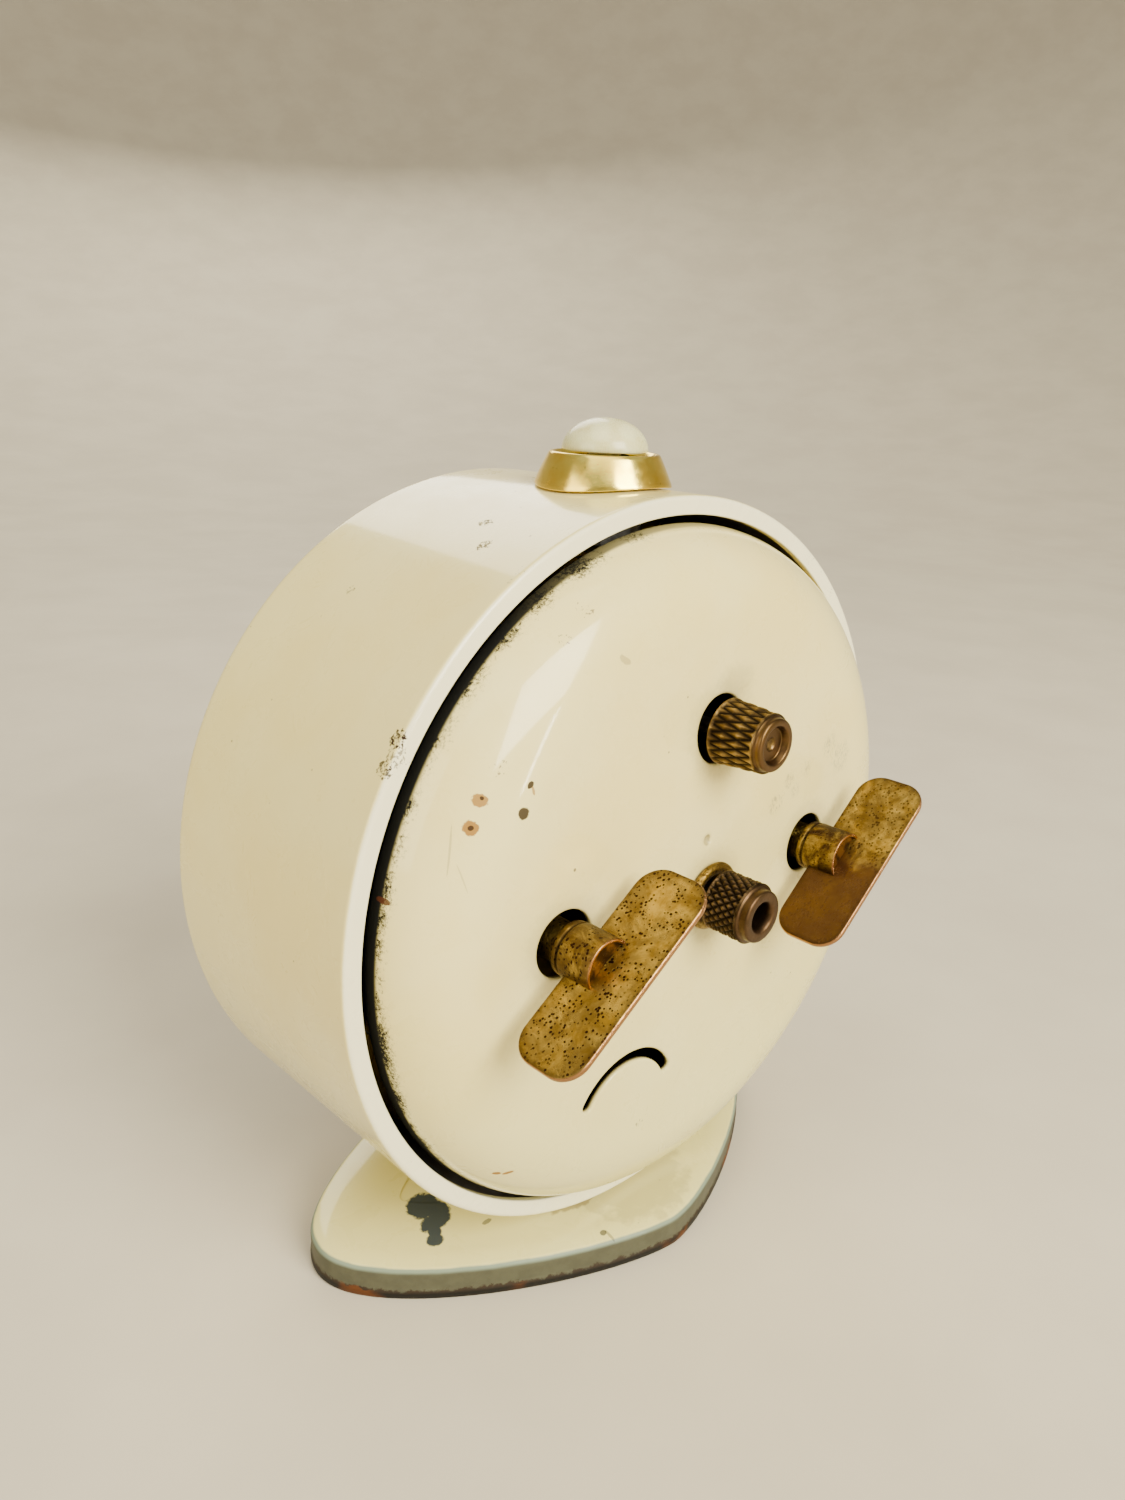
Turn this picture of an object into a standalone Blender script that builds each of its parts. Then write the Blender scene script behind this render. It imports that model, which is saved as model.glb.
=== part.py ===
"""Wind-up alarm clock with a bell back: enamelled drum case on a pressed oval foot.

Built in metres, +Z up, standing on z = 0.  The dial faces -Y and the bell back faces +Y.
Lengths below are millimetres.  "y" is measured from the plane of the case's rear lip,
and (x, z) from the case axis; K() turns them into the part's frame.
"""
import math

import bmesh
import bpy
from mathutils import Vector
from mathutils.geometry import tessellate_polygon

# ---- overall -------------------------------------------------------------
AXIS_Z = 56.1                      # height of the case axis over the table
CASE_R = 50.0
LIP_R = 47.6                       # rear opening
CASE_DEPTH = 35.3                  # straight barrel, rear lip to front shoulder
SHEET = 0.7
KEY_END = 21.2                     # outermost edge of the key plates
FOOT_FRONT = -43.0
Y_SHIFT = -(KEY_END + FOOT_FRONT) / 2
# ---- foot ----------------------------------------------------------------
FOOT_HALF_W, FOOT_REAR_D, FOOT_MID = 42.4, 27.9, -19.0
FOOT_POWER, FOOT_CORNER = 1.35, 8.0
FOOT_FRONT_D = FOOT_MID - FOOT_FRONT
FOOT_TOP, SKIRT = 5.85, 4.2
SCREW_Y = (-7.0, -20.0)
# ---- bell back -----------------------------------------------------------
BELL_R, BELL_FLAT, BELL_CROWN = 46.5, 8.2, 9.0
BELL_EDGE_R, BELL_EDGE_Y, BELL_WALL = 12.0, 9.6, 0.8
# ---- arbors: (x, z) ------------------------------------------------------
TIME = (25.5, 1.1)
ALARM = (-21.7, 1.5)
CENTRE = (0.0, 0.0)
SETTER = (0.0, 22.4)
BALANCE = (12.7, -27.7)
TIME_SLOPE, ALARM_SLOPE = -36.4, -41.0     # degrees, of the wing plates
KEY_HALF, KEY_IN, KEY_THICK, KEY_CORNER = 13.7, 11.35, 0.9, 3.3
STEM_R, STEM_END = 3.45, 15.6
SLOT_R, SLOT_HALF = 8.2, 0.75      # regulator slot round the balance
SLOT_ARC = range(30, 156, 12)
RATCHET_TIP, RATCHET_ROOT, RATCHET_TEETH = 5.2, 4.3, 16
# ---- button --------------------------------------------------------------
BUTTON_Y, BUTTON_R, BUTTON_TOP = -14.1, 5.6, 58.3
COLLAR_BASE_R, COLLAR_TOP_R, COLLAR_TOP = 9.0, 7.2, 54.0
# ---- movement layers along y ----------------------------------------------
FRONT_PLATE, BACK_PLATE, PLATE_R = (-26.5, -25.5), (-1.2, -0.2), 39.0
PILLARS = ((22.0, 28.6), (-9.0, 33.4), (-27.0, -23.6), (26.5, -24.6))
SPRING_Y = (-24.6, -16.2)
GREAT_Y = (-15.0, -14.0)
RATCHET_Y = (-13.4, -12.4)
CENTRE_Y = (-10.4, -9.6)
THIRD_Y = (-8.2, -7.4)
FOURTH_Y = (-5.4, -4.6)
ESCAPE_Y = (-12.4, -11.6)
# ---- trains: teeth and modules --------------------------------------------
TIME_TEETH, CENTRE_PINION = 48, 12
CENTRE_TEETH, THIRD_PINION, M_CENTRE = 60, 8, 0.5
THIRD_TEETH, FOURTH_PINION, M_THIRD = 48, 7, 0.48
FOURTH_TEETH, ESCAPE_PINION, M_FOURTH = 48, 7, 0.48
ALARM_TEETH, STRIKE_PINION, M_ALARM = 36, 8, 0.66
CANNON, MINUTE_TEETH, MINUTE_PINION, HOUR_TEETH = 10, 30, 8, 32
SET_PINION, ALARM_WHEEL = 12, 36
ESCAPE_TEETH, STRIKE_TEETH = 15, 12
POINTED_OVER = 16


def polar(centre, radius, degrees):
    a = math.radians(degrees)
    return (centre[0] + radius * math.cos(a), centre[1] + radius * math.sin(a))


def dist(a, b):
    return math.hypot(a[0] - b[0], a[1] - b[1])


THIRD = polar(CENTRE, M_CENTRE * (CENTRE_TEETH + THIRD_PINION) / 2, -82)
FOURTH = polar(THIRD, M_THIRD * (THIRD_TEETH + FOURTH_PINION) / 2, -165)
ESCAPE = polar(FOURTH, M_FOURTH * (FOURTH_TEETH + ESCAPE_PINION) / 2, -48)
LEVER = polar(ESCAPE, 6.9, -19)
STRIKE = polar(ALARM, M_ALARM * (ALARM_TEETH + STRIKE_PINION) / 2, 100)
HAMMER = polar(STRIKE, 8.2, 62)
HAMMER_HEAD = polar(CENTRE, 39.8, 105)
MINUTE = polar(CENTRE, 10.4, 205)
M_TIME = 2 * dist(TIME, CENTRE) / (TIME_TEETH + CENTRE_PINION)
M_CANNON = 2 * 10.4 / (CANNON + MINUTE_TEETH)
M_HOUR = 2 * 10.4 / (MINUTE_PINION + HOUR_TEETH)
M_SET = 2 * dist(SETTER, CENTRE) / (SET_PINION + ALARM_WHEEL)


def K(x, y, z):
    """Case millimetres to the part's metres."""
    return Vector((x, y + Y_SHIFT, z + AXIS_Z)) * 0.001


# ---- 2-D outlines ----------------------------------------------------------
def circle(c, r, n=24, start=0.0):
    return [polar(c, r, start + 360.0 * i / n) for i in range(n)]


def gear(c, teeth, module, phase):
    """Straight-flanked teeth, thinned for running clearance, pointed on a wheel; phase in degrees."""
    r, pts, pitch = module * teeth / 2, [], 360.0 / teeth
    for i in range(teeth):
        mid = phase + i * pitch
        if teeth > POINTED_OVER:
            pts += [polar(c, r - 1.2 * module, mid - 0.29 * pitch), polar(c, r + 0.85 * module, mid),
                    polar(c, r - 1.2 * module, mid + 0.29 * pitch)]
            continue
        pts += [polar(c, r - 1.2 * module, mid - 0.25 * pitch), polar(c, r + 0.8 * module, mid - 0.075 * pitch),
                polar(c, r + 0.8 * module, mid + 0.075 * pitch), polar(c, r - 1.2 * module, mid + 0.25 * pitch)]
    return pts


def ratchet(c, teeth, tip, root, phase=0.0, hand=1):
    pts = []
    for i in range(teeth):
        a = phase + 360.0 * i / teeth
        pts += [polar(c, root, a), polar(c, tip, a + hand * 0.06 * 360 / teeth)]
    return pts


def mesh_phase(ca, za, pa, cb, zb):
    """Phase of gear b that puts its gap on gear a's tooth."""
    theta = math.degrees(math.atan2(cb[1] - ca[1], cb[0] - ca[0]))
    fa = ((theta - pa) * za / 360.0) % 1.0
    return theta + 180.0 - (0.5 - fa) * 360.0 / zb


def windows(c, r_in, r_out, count=4, half=None, steps=5, start=0.0):
    """Crossing windows between a wheel's spokes."""
    half = half or 360.0 / count / 2 - 9
    out = []
    for k in range(count):
        mid = start + 360.0 * k / count
        arc = [mid - half + 2 * half * i / (steps - 1) for i in range(steps)]
        out.append([polar(c, r_out, a) for a in arc] + [polar(c, r_in, a) for a in reversed(arc)])
    return out


def spiral(c, r0, r1, turns, thick, steps, start=0.0):
    """Outline of a coiled strip."""
    n = int(turns * steps)
    mids = [(r0 + (r1 - r0) * i / n, start + 360.0 * turns * i / n) for i in range(n + 1)]
    return [polar(c, r - thick / 2, a) for r, a in mids] + \
           [polar(c, r + thick / 2, a) for r, a in reversed(mids)]


def around(c, pts):
    """The points in order round c."""
    return sorted(pts, key=lambda p: math.atan2(p[1] - c[1], p[0] - c[0]))


# ---- solids ----------------------------------------------------------------
def finish(bm, name, smooth=False):
    bmesh.ops.remove_doubles(bm, verts=bm.verts, dist=1e-8)
    bmesh.ops.recalc_face_normals(bm, faces=bm.faces)
    mesh = bpy.data.meshes.new(name)
    bm.to_mesh(mesh)
    bm.free()
    obj = bpy.data.objects.new(name, mesh)
    bpy.context.scene.collection.objects.link(obj)
    for p in mesh.polygons:
        p.use_smooth = smooth
    return obj


class Builder:
    """Collects one solid; vertices at the same place are shared."""

    def __init__(self):
        self.bm, self.seen = bmesh.new(), {}

    def v(self, p):
        key = tuple(round(c, 8) for c in p)
        if key not in self.seen:
            self.seen[key] = self.bm.verts.new(p)
        return self.seen[key]

    def face(self, pts):
        vs = []
        for p in pts:
            w = self.v(p)
            if w not in vs:
                vs.append(w)
        if len(vs) > 2 and self.bm.faces.get(vs) is None:
            self.bm.faces.new(vs)

    def flat(self, outer, holes, at):
        """A flat face with holes, at(x, z) giving the 3-D point."""
        loops = [outer] + list(holes)
        pts = [p for loop in loops for p in loop]
        for tri in tessellate_polygon([[Vector((p[0], p[1], 0)) for p in loop] for loop in loops]):
            self.face([at(*pts[i]) for i in tri])

    def wall(self, loop, lo, hi):
        for a, b in zip(loop, loop[1:] + loop[:1]):
            self.face([lo(*a), lo(*b), hi(*b), hi(*a)])


def along_y(y):
    return lambda x, z: K(x, y, z)


def stack(name, sections, through=(), level=along_y, smooth=False):
    """Outlines extruded one on another: sections are (outline, own holes, start, end)."""
    b = Builder()
    first, last = sections[0], sections[-1]
    b.flat(first[0], list(first[1]) + list(through), level(first[2]))
    b.flat(last[0], list(last[1]) + list(through), level(last[3]))
    for outer, holes, lo, hi in sections:
        for loop in [outer] + list(holes):
            b.wall(loop, level(lo), level(hi))
    for s, t in zip(sections, sections[1:]):
        big, small = (s, t) if area(s[0]) > area(t[0]) else (t, s)
        b.flat(big[0], [small[0]] + list(big[1]), level(s[3]))
    for loop in through:
        b.wall(loop, level(first[2]), level(last[3]))
    return finish(b.bm, name, smooth)


def area(loop):
    return abs(sum(a[0] * b[1] - b[0] * a[1] for a, b in zip(loop, loop[1:] + loop[:1]))) / 2


def lathe(name, profile, seg=64, centre=(0.0, 0.0), ring=None, upright=None, smooth=True):
    """Closed (radius, y) profile turned about an axis along y (or z if upright gives x, y)."""
    def spot(r, h, i):
        if ring:
            return ring(r, h, i)
        a = 2 * math.pi * i / seg
        if upright:
            return K(upright[0] + r * math.cos(a), upright[1] + r * math.sin(a), h)
        return K(centre[0] + r * math.cos(a), h, centre[1] + r * math.sin(a))
    b = Builder()
    for (r0, h0), (r1, h1) in zip(profile, profile[1:] + profile[:1]):
        if r0 < 1e-9 and r1 < 1e-9:
            continue
        for i in range(seg):
            b.face([spot(r0, h0, i), spot(r0, h0, (i + 1) % seg), spot(r1, h1, (i + 1) % seg), spot(r1, h1, i)])
    return finish(b.bm, name, smooth)


def sweep(name, path, r, seg=8):
    """Round wire along a path of case points."""
    pts = [K(*p) for p in path]
    b, rings = Builder(), []
    for i, p in enumerate(pts):
        d = (pts[min(i + 1, len(pts) - 1)] - pts[max(i - 1, 0)]).normalized()
        side = d.cross(Vector((0, 0, 1)))
        side = side.normalized() if side.length > 0.2 else d.cross(Vector((1, 0, 0))).normalized()
        if rings and side.dot(rings[-1][1]) < 0:
            side = -side
        up = d.cross(side)
        rings.append(([p + (side * math.cos(t) + up * math.sin(t)) * r * 0.001
                       for t in (2 * math.pi * k / seg for k in range(seg))], side))
    for (a, _), (c, _) in zip(rings, rings[1:]):
        for k in range(seg):
            j = (k + 1) % seg
            b.face([a[k], a[j], c[j], c[k]])
    b.face(rings[0][0])
    b.face(rings[-1][0])
    return finish(b.bm, name, True)


def helix(name, centre, r, wire, z0, z1, turns, steps=12, seg=5):
    n = int(turns * steps)
    path = [(*polar(centre, r, 360.0 * i / steps), z0 + (z1 - z0) * i / n) for i in range(n + 1)]
    return sweep(name, path, wire, seg)


def cut(obj, cutter):
    """Takes cutter out of obj."""
    cutter.hide_render, cutter.display_type = True, "WIRE"
    mod = obj.modifiers.new("cut", "BOOLEAN")
    mod.operation, mod.solver, mod.object = "DIFFERENCE", "EXACT", cutter
    graph = bpy.context.evaluated_depsgraph_get()
    mesh = bpy.data.meshes.new_from_object(obj.evaluated_get(graph))
    obj.modifiers.clear()
    obj.data = mesh
    bpy.data.objects.remove(cutter)


def join(obj, other):
    """Makes obj and other one solid."""
    mod = obj.modifiers.new("join", "BOOLEAN")
    mod.operation, mod.solver, mod.object = "UNION", "EXACT", other
    graph = bpy.context.evaluated_depsgraph_get()
    mesh = bpy.data.meshes.new_from_object(obj.evaluated_get(graph))
    obj.modifiers.clear()
    obj.data = mesh
    bpy.data.objects.remove(other)


def drill(obj, c, r, y0, y1, n=20):
    cut(obj, stack("cutter", [(circle(c, r, n), [], y0, y1)]))


def drill_up(obj, x, y, r, z0, z1, n=16):
    cut(obj, stack("cutter", [(circle((x, y), r, n), [], z0, z1)], level=along_z))


def along_z(z):
    return lambda x, y: K(x, y, z)


# ---- case ------------------------------------------------------------------
def case():
    f = -CASE_DEPTH
    shell = lathe("case_shell", [
        (CASE_R - 0.8, 0.0), (CASE_R, -0.8), (CASE_R, f), (CASE_R - 1.0, f - 2.2), (CASE_R - 3.2, f - 3.0),
        (CASE_R - 3.2, f - 3.0 + SHEET), (CASE_R - 1.6, f - 1.4), (CASE_R - SHEET, f),
        (CASE_R - SHEET, -1.6), (LIP_R, -1.4), (LIP_R, 0.0)], 56)
    for y in SCREW_Y:
        drill_up(shell, 0, y, 1.7, -CASE_R - 2, -CASE_R + 3)
    drill_up(shell, 0, BUTTON_Y, 4.6, CASE_R - 4, CASE_R + 2, 20)
    lathe("front_bezel", [(CASE_R - 3.5, f - 3.2), (CASE_R - 3.5, f + 2.9), (CASE_R - 4.4, f + 2.9),
                          (CASE_R - 4.4, f - 1.4), (CASE_R - 5.6, f - 1.4), (CASE_R - 5.6, f - 2.2),
                          (CASE_R - 4.6, f - 3.8)], 48)
    r = CASE_R - 5.9
    lens = [(r, f - 2.3), (r, f - 1.3)]
    out = [(r * s, f - 2.3 - 3.4 * (1 - s * s)) for s in (0.0, 0.5, 0.82)]
    inn = [(a, h + 1.0) for a, h in reversed(out)]
    lathe("glass_lens", lens + inn + out, 40)
    stack("dial_plate", [(circle(CENTRE, r + 1.2, 48), [], f + 3.2, f + 3.7)], [circle(CENTRE, 4.0, 16)])


def bell():
    flat_r = BELL_R - BELL_EDGE_R
    outer = [(BELL_R, BELL_FLAT - BELL_EDGE_Y)]
    inner = [(BELL_R - BELL_WALL, BELL_FLAT - BELL_EDGE_Y)]
    for deg in range(18, 91, 18):
        a = math.radians(deg)
        outer.append((flat_r + BELL_EDGE_R * math.cos(a), BELL_FLAT - BELL_EDGE_Y * (1 - math.sin(a))))
        inner.append((flat_r + (BELL_EDGE_R - BELL_WALL) * math.cos(a),
                      BELL_FLAT - BELL_EDGE_Y + (BELL_EDGE_Y - BELL_WALL) * math.sin(a)))
    half_way = 0.55
    rise = (BELL_CROWN - BELL_FLAT) * (1 - half_way ** 2)
    outer.append((flat_r * half_way, BELL_FLAT + rise))
    inner.append((flat_r * half_way, BELL_FLAT + rise - BELL_WALL))
    outer.append((2.9, BELL_CROWN))
    inner.append((2.9, BELL_CROWN - BELL_WALL))
    cover = lathe("back_cover", outer + inner[::-1], 52)
    for c in (TIME, ALARM):
        drill(cover, c, 4.25, 4, 14)
    drill(cover, SETTER, 4.5, 4, 14)
    slot = [polar(BALANCE, SLOT_R + SLOT_HALF, a) for a in SLOT_ARC]
    slot += [polar(BALANCE, SLOT_R - SLOT_HALF, a) for a in reversed(SLOT_ARC)]
    cut(cover, stack("cutter", [(slot, [], 4, 14)]))
    lathe("cover_ferrule", [(1.9, 0.1), (2.7, 0.1), (2.7, BELL_CROWN + 0.1), (4.4, BELL_CROWN + 0.1),
                            (4.7, BELL_CROWN + 0.5), (4.2, BELL_CROWN + 1.1), (2.4, BELL_CROWN + 1.2),
                            (1.9, BELL_CROWN + 0.8)], 18)


def foot_ring(inset, z, i, n=52):
    """Offset curve of a rounded lozenge, sampled by the direction it faces."""
    t = 2 * math.pi * i / n
    c, s = math.cos(t), math.sin(t)
    corner = max(FOOT_CORNER - inset, 0.8)
    core = FOOT_CORNER + max(inset - FOOT_CORNER + 0.8, 0.0)
    w = FOOT_HALF_W - core
    d = (FOOT_REAR_D if s >= 0 else FOOT_FRONT_D) - core
    q = FOOT_POWER / (FOOT_POWER - 1)
    total = (abs(w * c) ** q + abs(d * s) ** q) ** ((q - 1) / q)
    x = math.copysign(w * abs(w * c) ** (q - 1) / total, c) + corner * c
    y = math.copysign(d * abs(d * s) ** (q - 1) / total, s) + corner * s
    return K(x, FOOT_MID + y, z - AXIS_Z)


def foot():
    n, b = 52, Builder()
    rings = [(2.6, 0.0), (0.0, 0.0), (0.0, SKIRT), (0.6, SKIRT + 0.7), (2.0, SKIRT + 1.1), (14.0, FOOT_TOP)]
    under = [(14.0, FOOT_TOP - 0.8), (2.4, SKIRT + 0.3), (0.8, SKIRT - 0.3), (0.8, 0.8), (2.6, 0.8)]
    loop = rings + under
    for k, (p, q) in enumerate(zip(loop, loop[1:] + loop[:1])):
        if k == len(rings) - 1:
            continue
        for i in range(n):
            j = (i + 1) % n
            b.face([foot_ring(*p, i), foot_ring(*p, j), foot_ring(*q, j), foot_ring(*q, i)])
    for inset, z in (rings[-1], under[0]):
        b.face([foot_ring(inset, z, i) for i in range(n)])
    pan = finish(b.bm, "foot_pan", True)
    for y in SCREW_Y:
        drill_up(pan, 0, y, 1.7, -AXIS_Z + 1.5, -CASE_R + 1)
    for tag, y in zip(("rear", "front"), SCREW_Y):
        top = FOOT_TOP - 1.0 - AXIS_Z
        stack("foot_screw_" + tag, [(circle((0, y), 3.0, 16), [], top - 1.3, top),
                                    (circle((0, y), 1.4, 16), [], top, -CASE_R + 4.2)], level=along_z)
        stack("foot_nut_" + tag, [(circle((0, y), 3.0, 6), [], -CASE_R + 1.1, -CASE_R + 3.2)],
              [circle((0, y), 1.6, 16)], level=along_z)


def button():
    lathe("button_collar", [(4.9, CASE_R + 0.25), (COLLAR_BASE_R, CASE_R + 0.25), (COLLAR_BASE_R, CASE_R + 0.7),
                            (COLLAR_TOP_R + 0.3, COLLAR_TOP - 0.4), (COLLAR_TOP_R - 0.3, COLLAR_TOP),
                            (BUTTON_R + 0.5, COLLAR_TOP), (BUTTON_R + 0.5, CASE_R + 1.2), (4.9, CASE_R + 1.2)],
          28, upright=(0, BUTTON_Y))
    dome = [(0.0, BUTTON_TOP), (2.0, BUTTON_TOP - 0.25), (3.8, BUTTON_TOP - 1.1), (5.0, BUTTON_TOP - 2.3),
            (BUTTON_R, BUTTON_TOP - 4.0), (BUTTON_R, CASE_R + 5.4), (2.1, CASE_R + 5.4), (2.1, CASE_R - 9.0),
            (0.0, CASE_R - 9.0)]
    lathe("stop_button", dome, 20, upright=(0, BUTTON_Y))
    helix("stop_button_spring", (0, BUTTON_Y), 3.3, 0.3, CASE_R - 5.5, CASE_R + 4.9, 4, steps=10, seg=4)
    lathe("button_guide", [(6.4, CASE_R - 2.0), (6.4, CASE_R - 1.4), (4.7, CASE_R - 1.4), (4.7, CASE_R - 6.5),
                           (2.4, CASE_R - 6.5), (2.4, CASE_R - 7.3), (5.3, CASE_R - 7.3), (5.3, CASE_R - 2.0)],
          16, upright=(0, BUTTON_Y))


# ---- winding ----------------------------------------------------------------
def slope_axes(slope):
    """Unit vectors along and across a wing plate, in (x, z)."""
    u = polar((0.0, 0.0), 1.0, slope)
    return u, (-u[1], u[0])


def wing(name, c, slope):
    """Flat plate with rounded corners, standing in the slot of a key stem."""
    u, w = slope_axes(slope)
    pts = []
    for sx, sy, start in ((1, 1, 0), (-1, 1, 90), (-1, -1, 180), (1, -1, 270)):
        corner = (sx * (KEY_HALF - KEY_CORNER), sy * ((KEY_END - KEY_IN) / 2 - KEY_CORNER))
        pts += [polar(corner, KEY_CORNER, start + k * 22.5) for k in range(5)]
    mid = (KEY_END + KEY_IN) / 2

    def level(t):
        return lambda s, h: K(c[0] + u[0] * s + w[0] * t, mid + h, c[1] + u[1] * s + w[1] * t)
    return stack(name, [(pts, [], -KEY_THICK / 2, KEY_THICK / 2)], level=level)


def key(tag, c, hand, slope):
    stem = lathe(tag + "_key_stem", [(0.0, 5.6), (2.6, 5.6), (2.6, 9.4), (STEM_R - 0.2, 9.4), (STEM_R, 9.6),
                                     (STEM_R, STEM_END - 0.2), (STEM_R - 0.2, STEM_END), (0.0, STEM_END)],
                 20, centre=c, smooth=False)
    u, w = slope_axes(slope)
    g, far = KEY_THICK / 2 + 0.05, STEM_R + 1
    box = [(c[0] + u[0] * a * far + w[0] * b * g, c[1] + u[1] * a * far + w[1] * b * g)
           for a, b in ((-1, -1), (1, -1), (1, 1), (-1, 1))]
    cut(stem, stack("cutter", [(box, [], KEY_IN - 0.05, STEM_END + 2)]))
    wing(tag + "_key_plate", c, slope)
    teeth = ratchet(c, RATCHET_TEETH, RATCHET_TIP, RATCHET_ROOT, hand=hand)
    stack(tag + "_arbor", [(circle(c, 1.3, 16), [], FRONT_PLATE[0] - 0.6, SPRING_Y[0]),
                           (circle(c, 2.4, 16), [], SPRING_Y[0], RATCHET_Y[0]),
                           (teeth, [], *RATCHET_Y),
                           (circle(c, 2.0, 16), [], RATCHET_Y[1], 5.4)])


def great_wheel(tag, c, teeth, module, phase, click_out, hand):
    """Great wheel and its click: a pawl beside the ratchet, lifted just clear of the tips."""
    stack(tag + "_great_wheel", [(gear(c, teeth, module, phase), [], *GREAT_Y)], [circle(c, 2.7, 16)])

    def side(degrees):
        return degrees if hand > 0 else 180 - degrees
    pivot = polar(c, click_out, side(128))
    nose, back = polar(c, RATCHET_TIP + 0.3, side(109)), polar(c, RATCHET_TIP + 1.4, side(105))
    to_nose = math.degrees(math.atan2(nose[1] - pivot[1], nose[0] - pivot[0]))
    heel = [polar(pivot, 1.5, to_nose + turn) for turn in (100, 180, -100)]
    outline = heel + ([nose, back] if hand > 0 else [back, nose])
    lo, hi = RATCHET_Y[0] - 0.35, RATCHET_Y[1] - 0.35
    stack(tag + "_click", [(outline, [], lo, hi)], [circle(pivot, 0.7, 10)])


def springs():
    for tag, c, r, start in (("time", TIME, 14.6, 60.0), ("alarm", ALARM, 12.0, 120.0)):
        coil = spiral(c, 3.6, r, 3, 0.55, 16, start)
        stack(tag + "_mainspring", [(coil, [], SPRING_Y[0] + 0.3, SPRING_Y[1])])


# ---- movement ------------------------------------------------------------------
def plates():
    pivots = [(TIME, 1.55), (ALARM, 1.55), (SETTER, 1.3), (THIRD, 0.75), (FOURTH, 0.75), (ESCAPE, 0.75),
              (LEVER, 0.75), (STRIKE, 0.75), (HAMMER, 0.75), (BALANCE, 1.8)]
    posts = [circle(c, 1.75, 8, 22.5) for c in PILLARS]
    shared = [circle(CENTRE, 1.6, 8)] + posts
    front = [circle(c, r, 8) for c, r in pivots] + [circle(MINUTE, 1.05, 8)] + shared
    back = [circle(c, 2.25 if c in (TIME, ALARM) else r, 8) for c, r in pivots] + shared
    stack("movement_front_plate", [(circle(CENTRE, PLATE_R, 36), front, *FRONT_PLATE)])
    stack("movement_back_plate", [(circle(CENTRE, PLATE_R, 36), back, *BACK_PLATE)])
    lathe("movement_ring", [(PLATE_R + 0.3, FRONT_PLATE[0] + 0.1), (CASE_R - 1.0, FRONT_PLATE[0] + 0.1),
                            (CASE_R - 1.0, FRONT_PLATE[1] - 0.1), (PLATE_R + 0.3, FRONT_PLATE[1] - 0.1)], 36)
    for k, c in enumerate(PILLARS):
        stack("pillar_%d" % (k + 1), [(circle(c, 1.45, 8), [], FRONT_PLATE[0] - 1.0, FRONT_PLATE[1] + 0.1),
                                      (circle(c, 2.3, 8), [], FRONT_PLATE[1] + 0.1, BACK_PLATE[0] - 0.1),
                                      (circle(c, 1.45, 8), [], BACK_PLATE[0] - 0.1, BACK_PLATE[1] + 1.4)])


def arbor_wheel(name, c, wheel, wheel_y, pinion, pinion_y, bore=None, ends=(-26.2, -0.5), crossings=None):
    """Arbor with a wheel and a pinion; wheel and pinion are (teeth, module, phase)."""
    parts = sorted([(wheel_y, gear(c, *wheel), crossings or []), (pinion_y, gear(c, *pinion), [])])
    thin = circle(c, 0.55 if not bore else bore + 0.55, 8 if not bore else 12)
    out, at = [], ends[0]
    for (lo, hi), shape, holes in parts:
        if lo > at + 1e-6:
            out.append((thin, [], at, lo))
        out.append((shape, holes, lo, hi))
        at = hi
    if ends[1] > at + 1e-6:
        out.append((thin, [], at, ends[1]))
    stack(name, out, [circle(c, bore, 12)] if bore else [])


def going_train():
    p_great = 0.0
    great_wheel("time", TIME, TIME_TEETH, M_TIME, p_great, 10.2, 1)
    p_cp = mesh_phase(TIME, TIME_TEETH, p_great, CENTRE, CENTRE_PINION)
    arbor_wheel("centre_wheel", CENTRE, (CENTRE_TEETH, M_CENTRE, 0.0), CENTRE_Y, (CENTRE_PINION, M_TIME, p_cp),
                (-16.2, -13.0), bore=1.35, ends=(-17.0, -8.9), crossings=windows(CENTRE, 4.6, 12.2, 4, start=45))
    p3 = mesh_phase(CENTRE, CENTRE_TEETH, 0.0, THIRD, THIRD_PINION)
    arbor_wheel("third_wheel", THIRD, (THIRD_TEETH, M_THIRD, 0.0), THIRD_Y, (THIRD_PINION, M_CENTRE, p3),
                (-11.4, -8.6))
    p4 = mesh_phase(THIRD, THIRD_TEETH, 0.0, FOURTH, FOURTH_PINION)
    arbor_wheel("fourth_wheel", FOURTH, (FOURTH_TEETH, M_FOURTH, 0.0), FOURTH_Y, (FOURTH_PINION, M_THIRD, p4),
                (-9.2, -6.4))
    pe = mesh_phase(FOURTH, FOURTH_TEETH, 0.0, ESCAPE, ESCAPE_PINION)
    escape = ratchet(ESCAPE, ESCAPE_TEETH, 4.6, 3.5, 6.0)
    thin = circle(ESCAPE, 0.55, 8)
    pinion = gear(ESCAPE, ESCAPE_PINION, M_FOURTH, pe)
    stack("escape_wheel", [(thin, [], -26.2, ESCAPE_Y[0]), (escape, [], *ESCAPE_Y),
                           (thin, [], ESCAPE_Y[1], -6.4), (pinion, [], -6.4, -3.6), (thin, [], -3.6, -0.5)])


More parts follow.
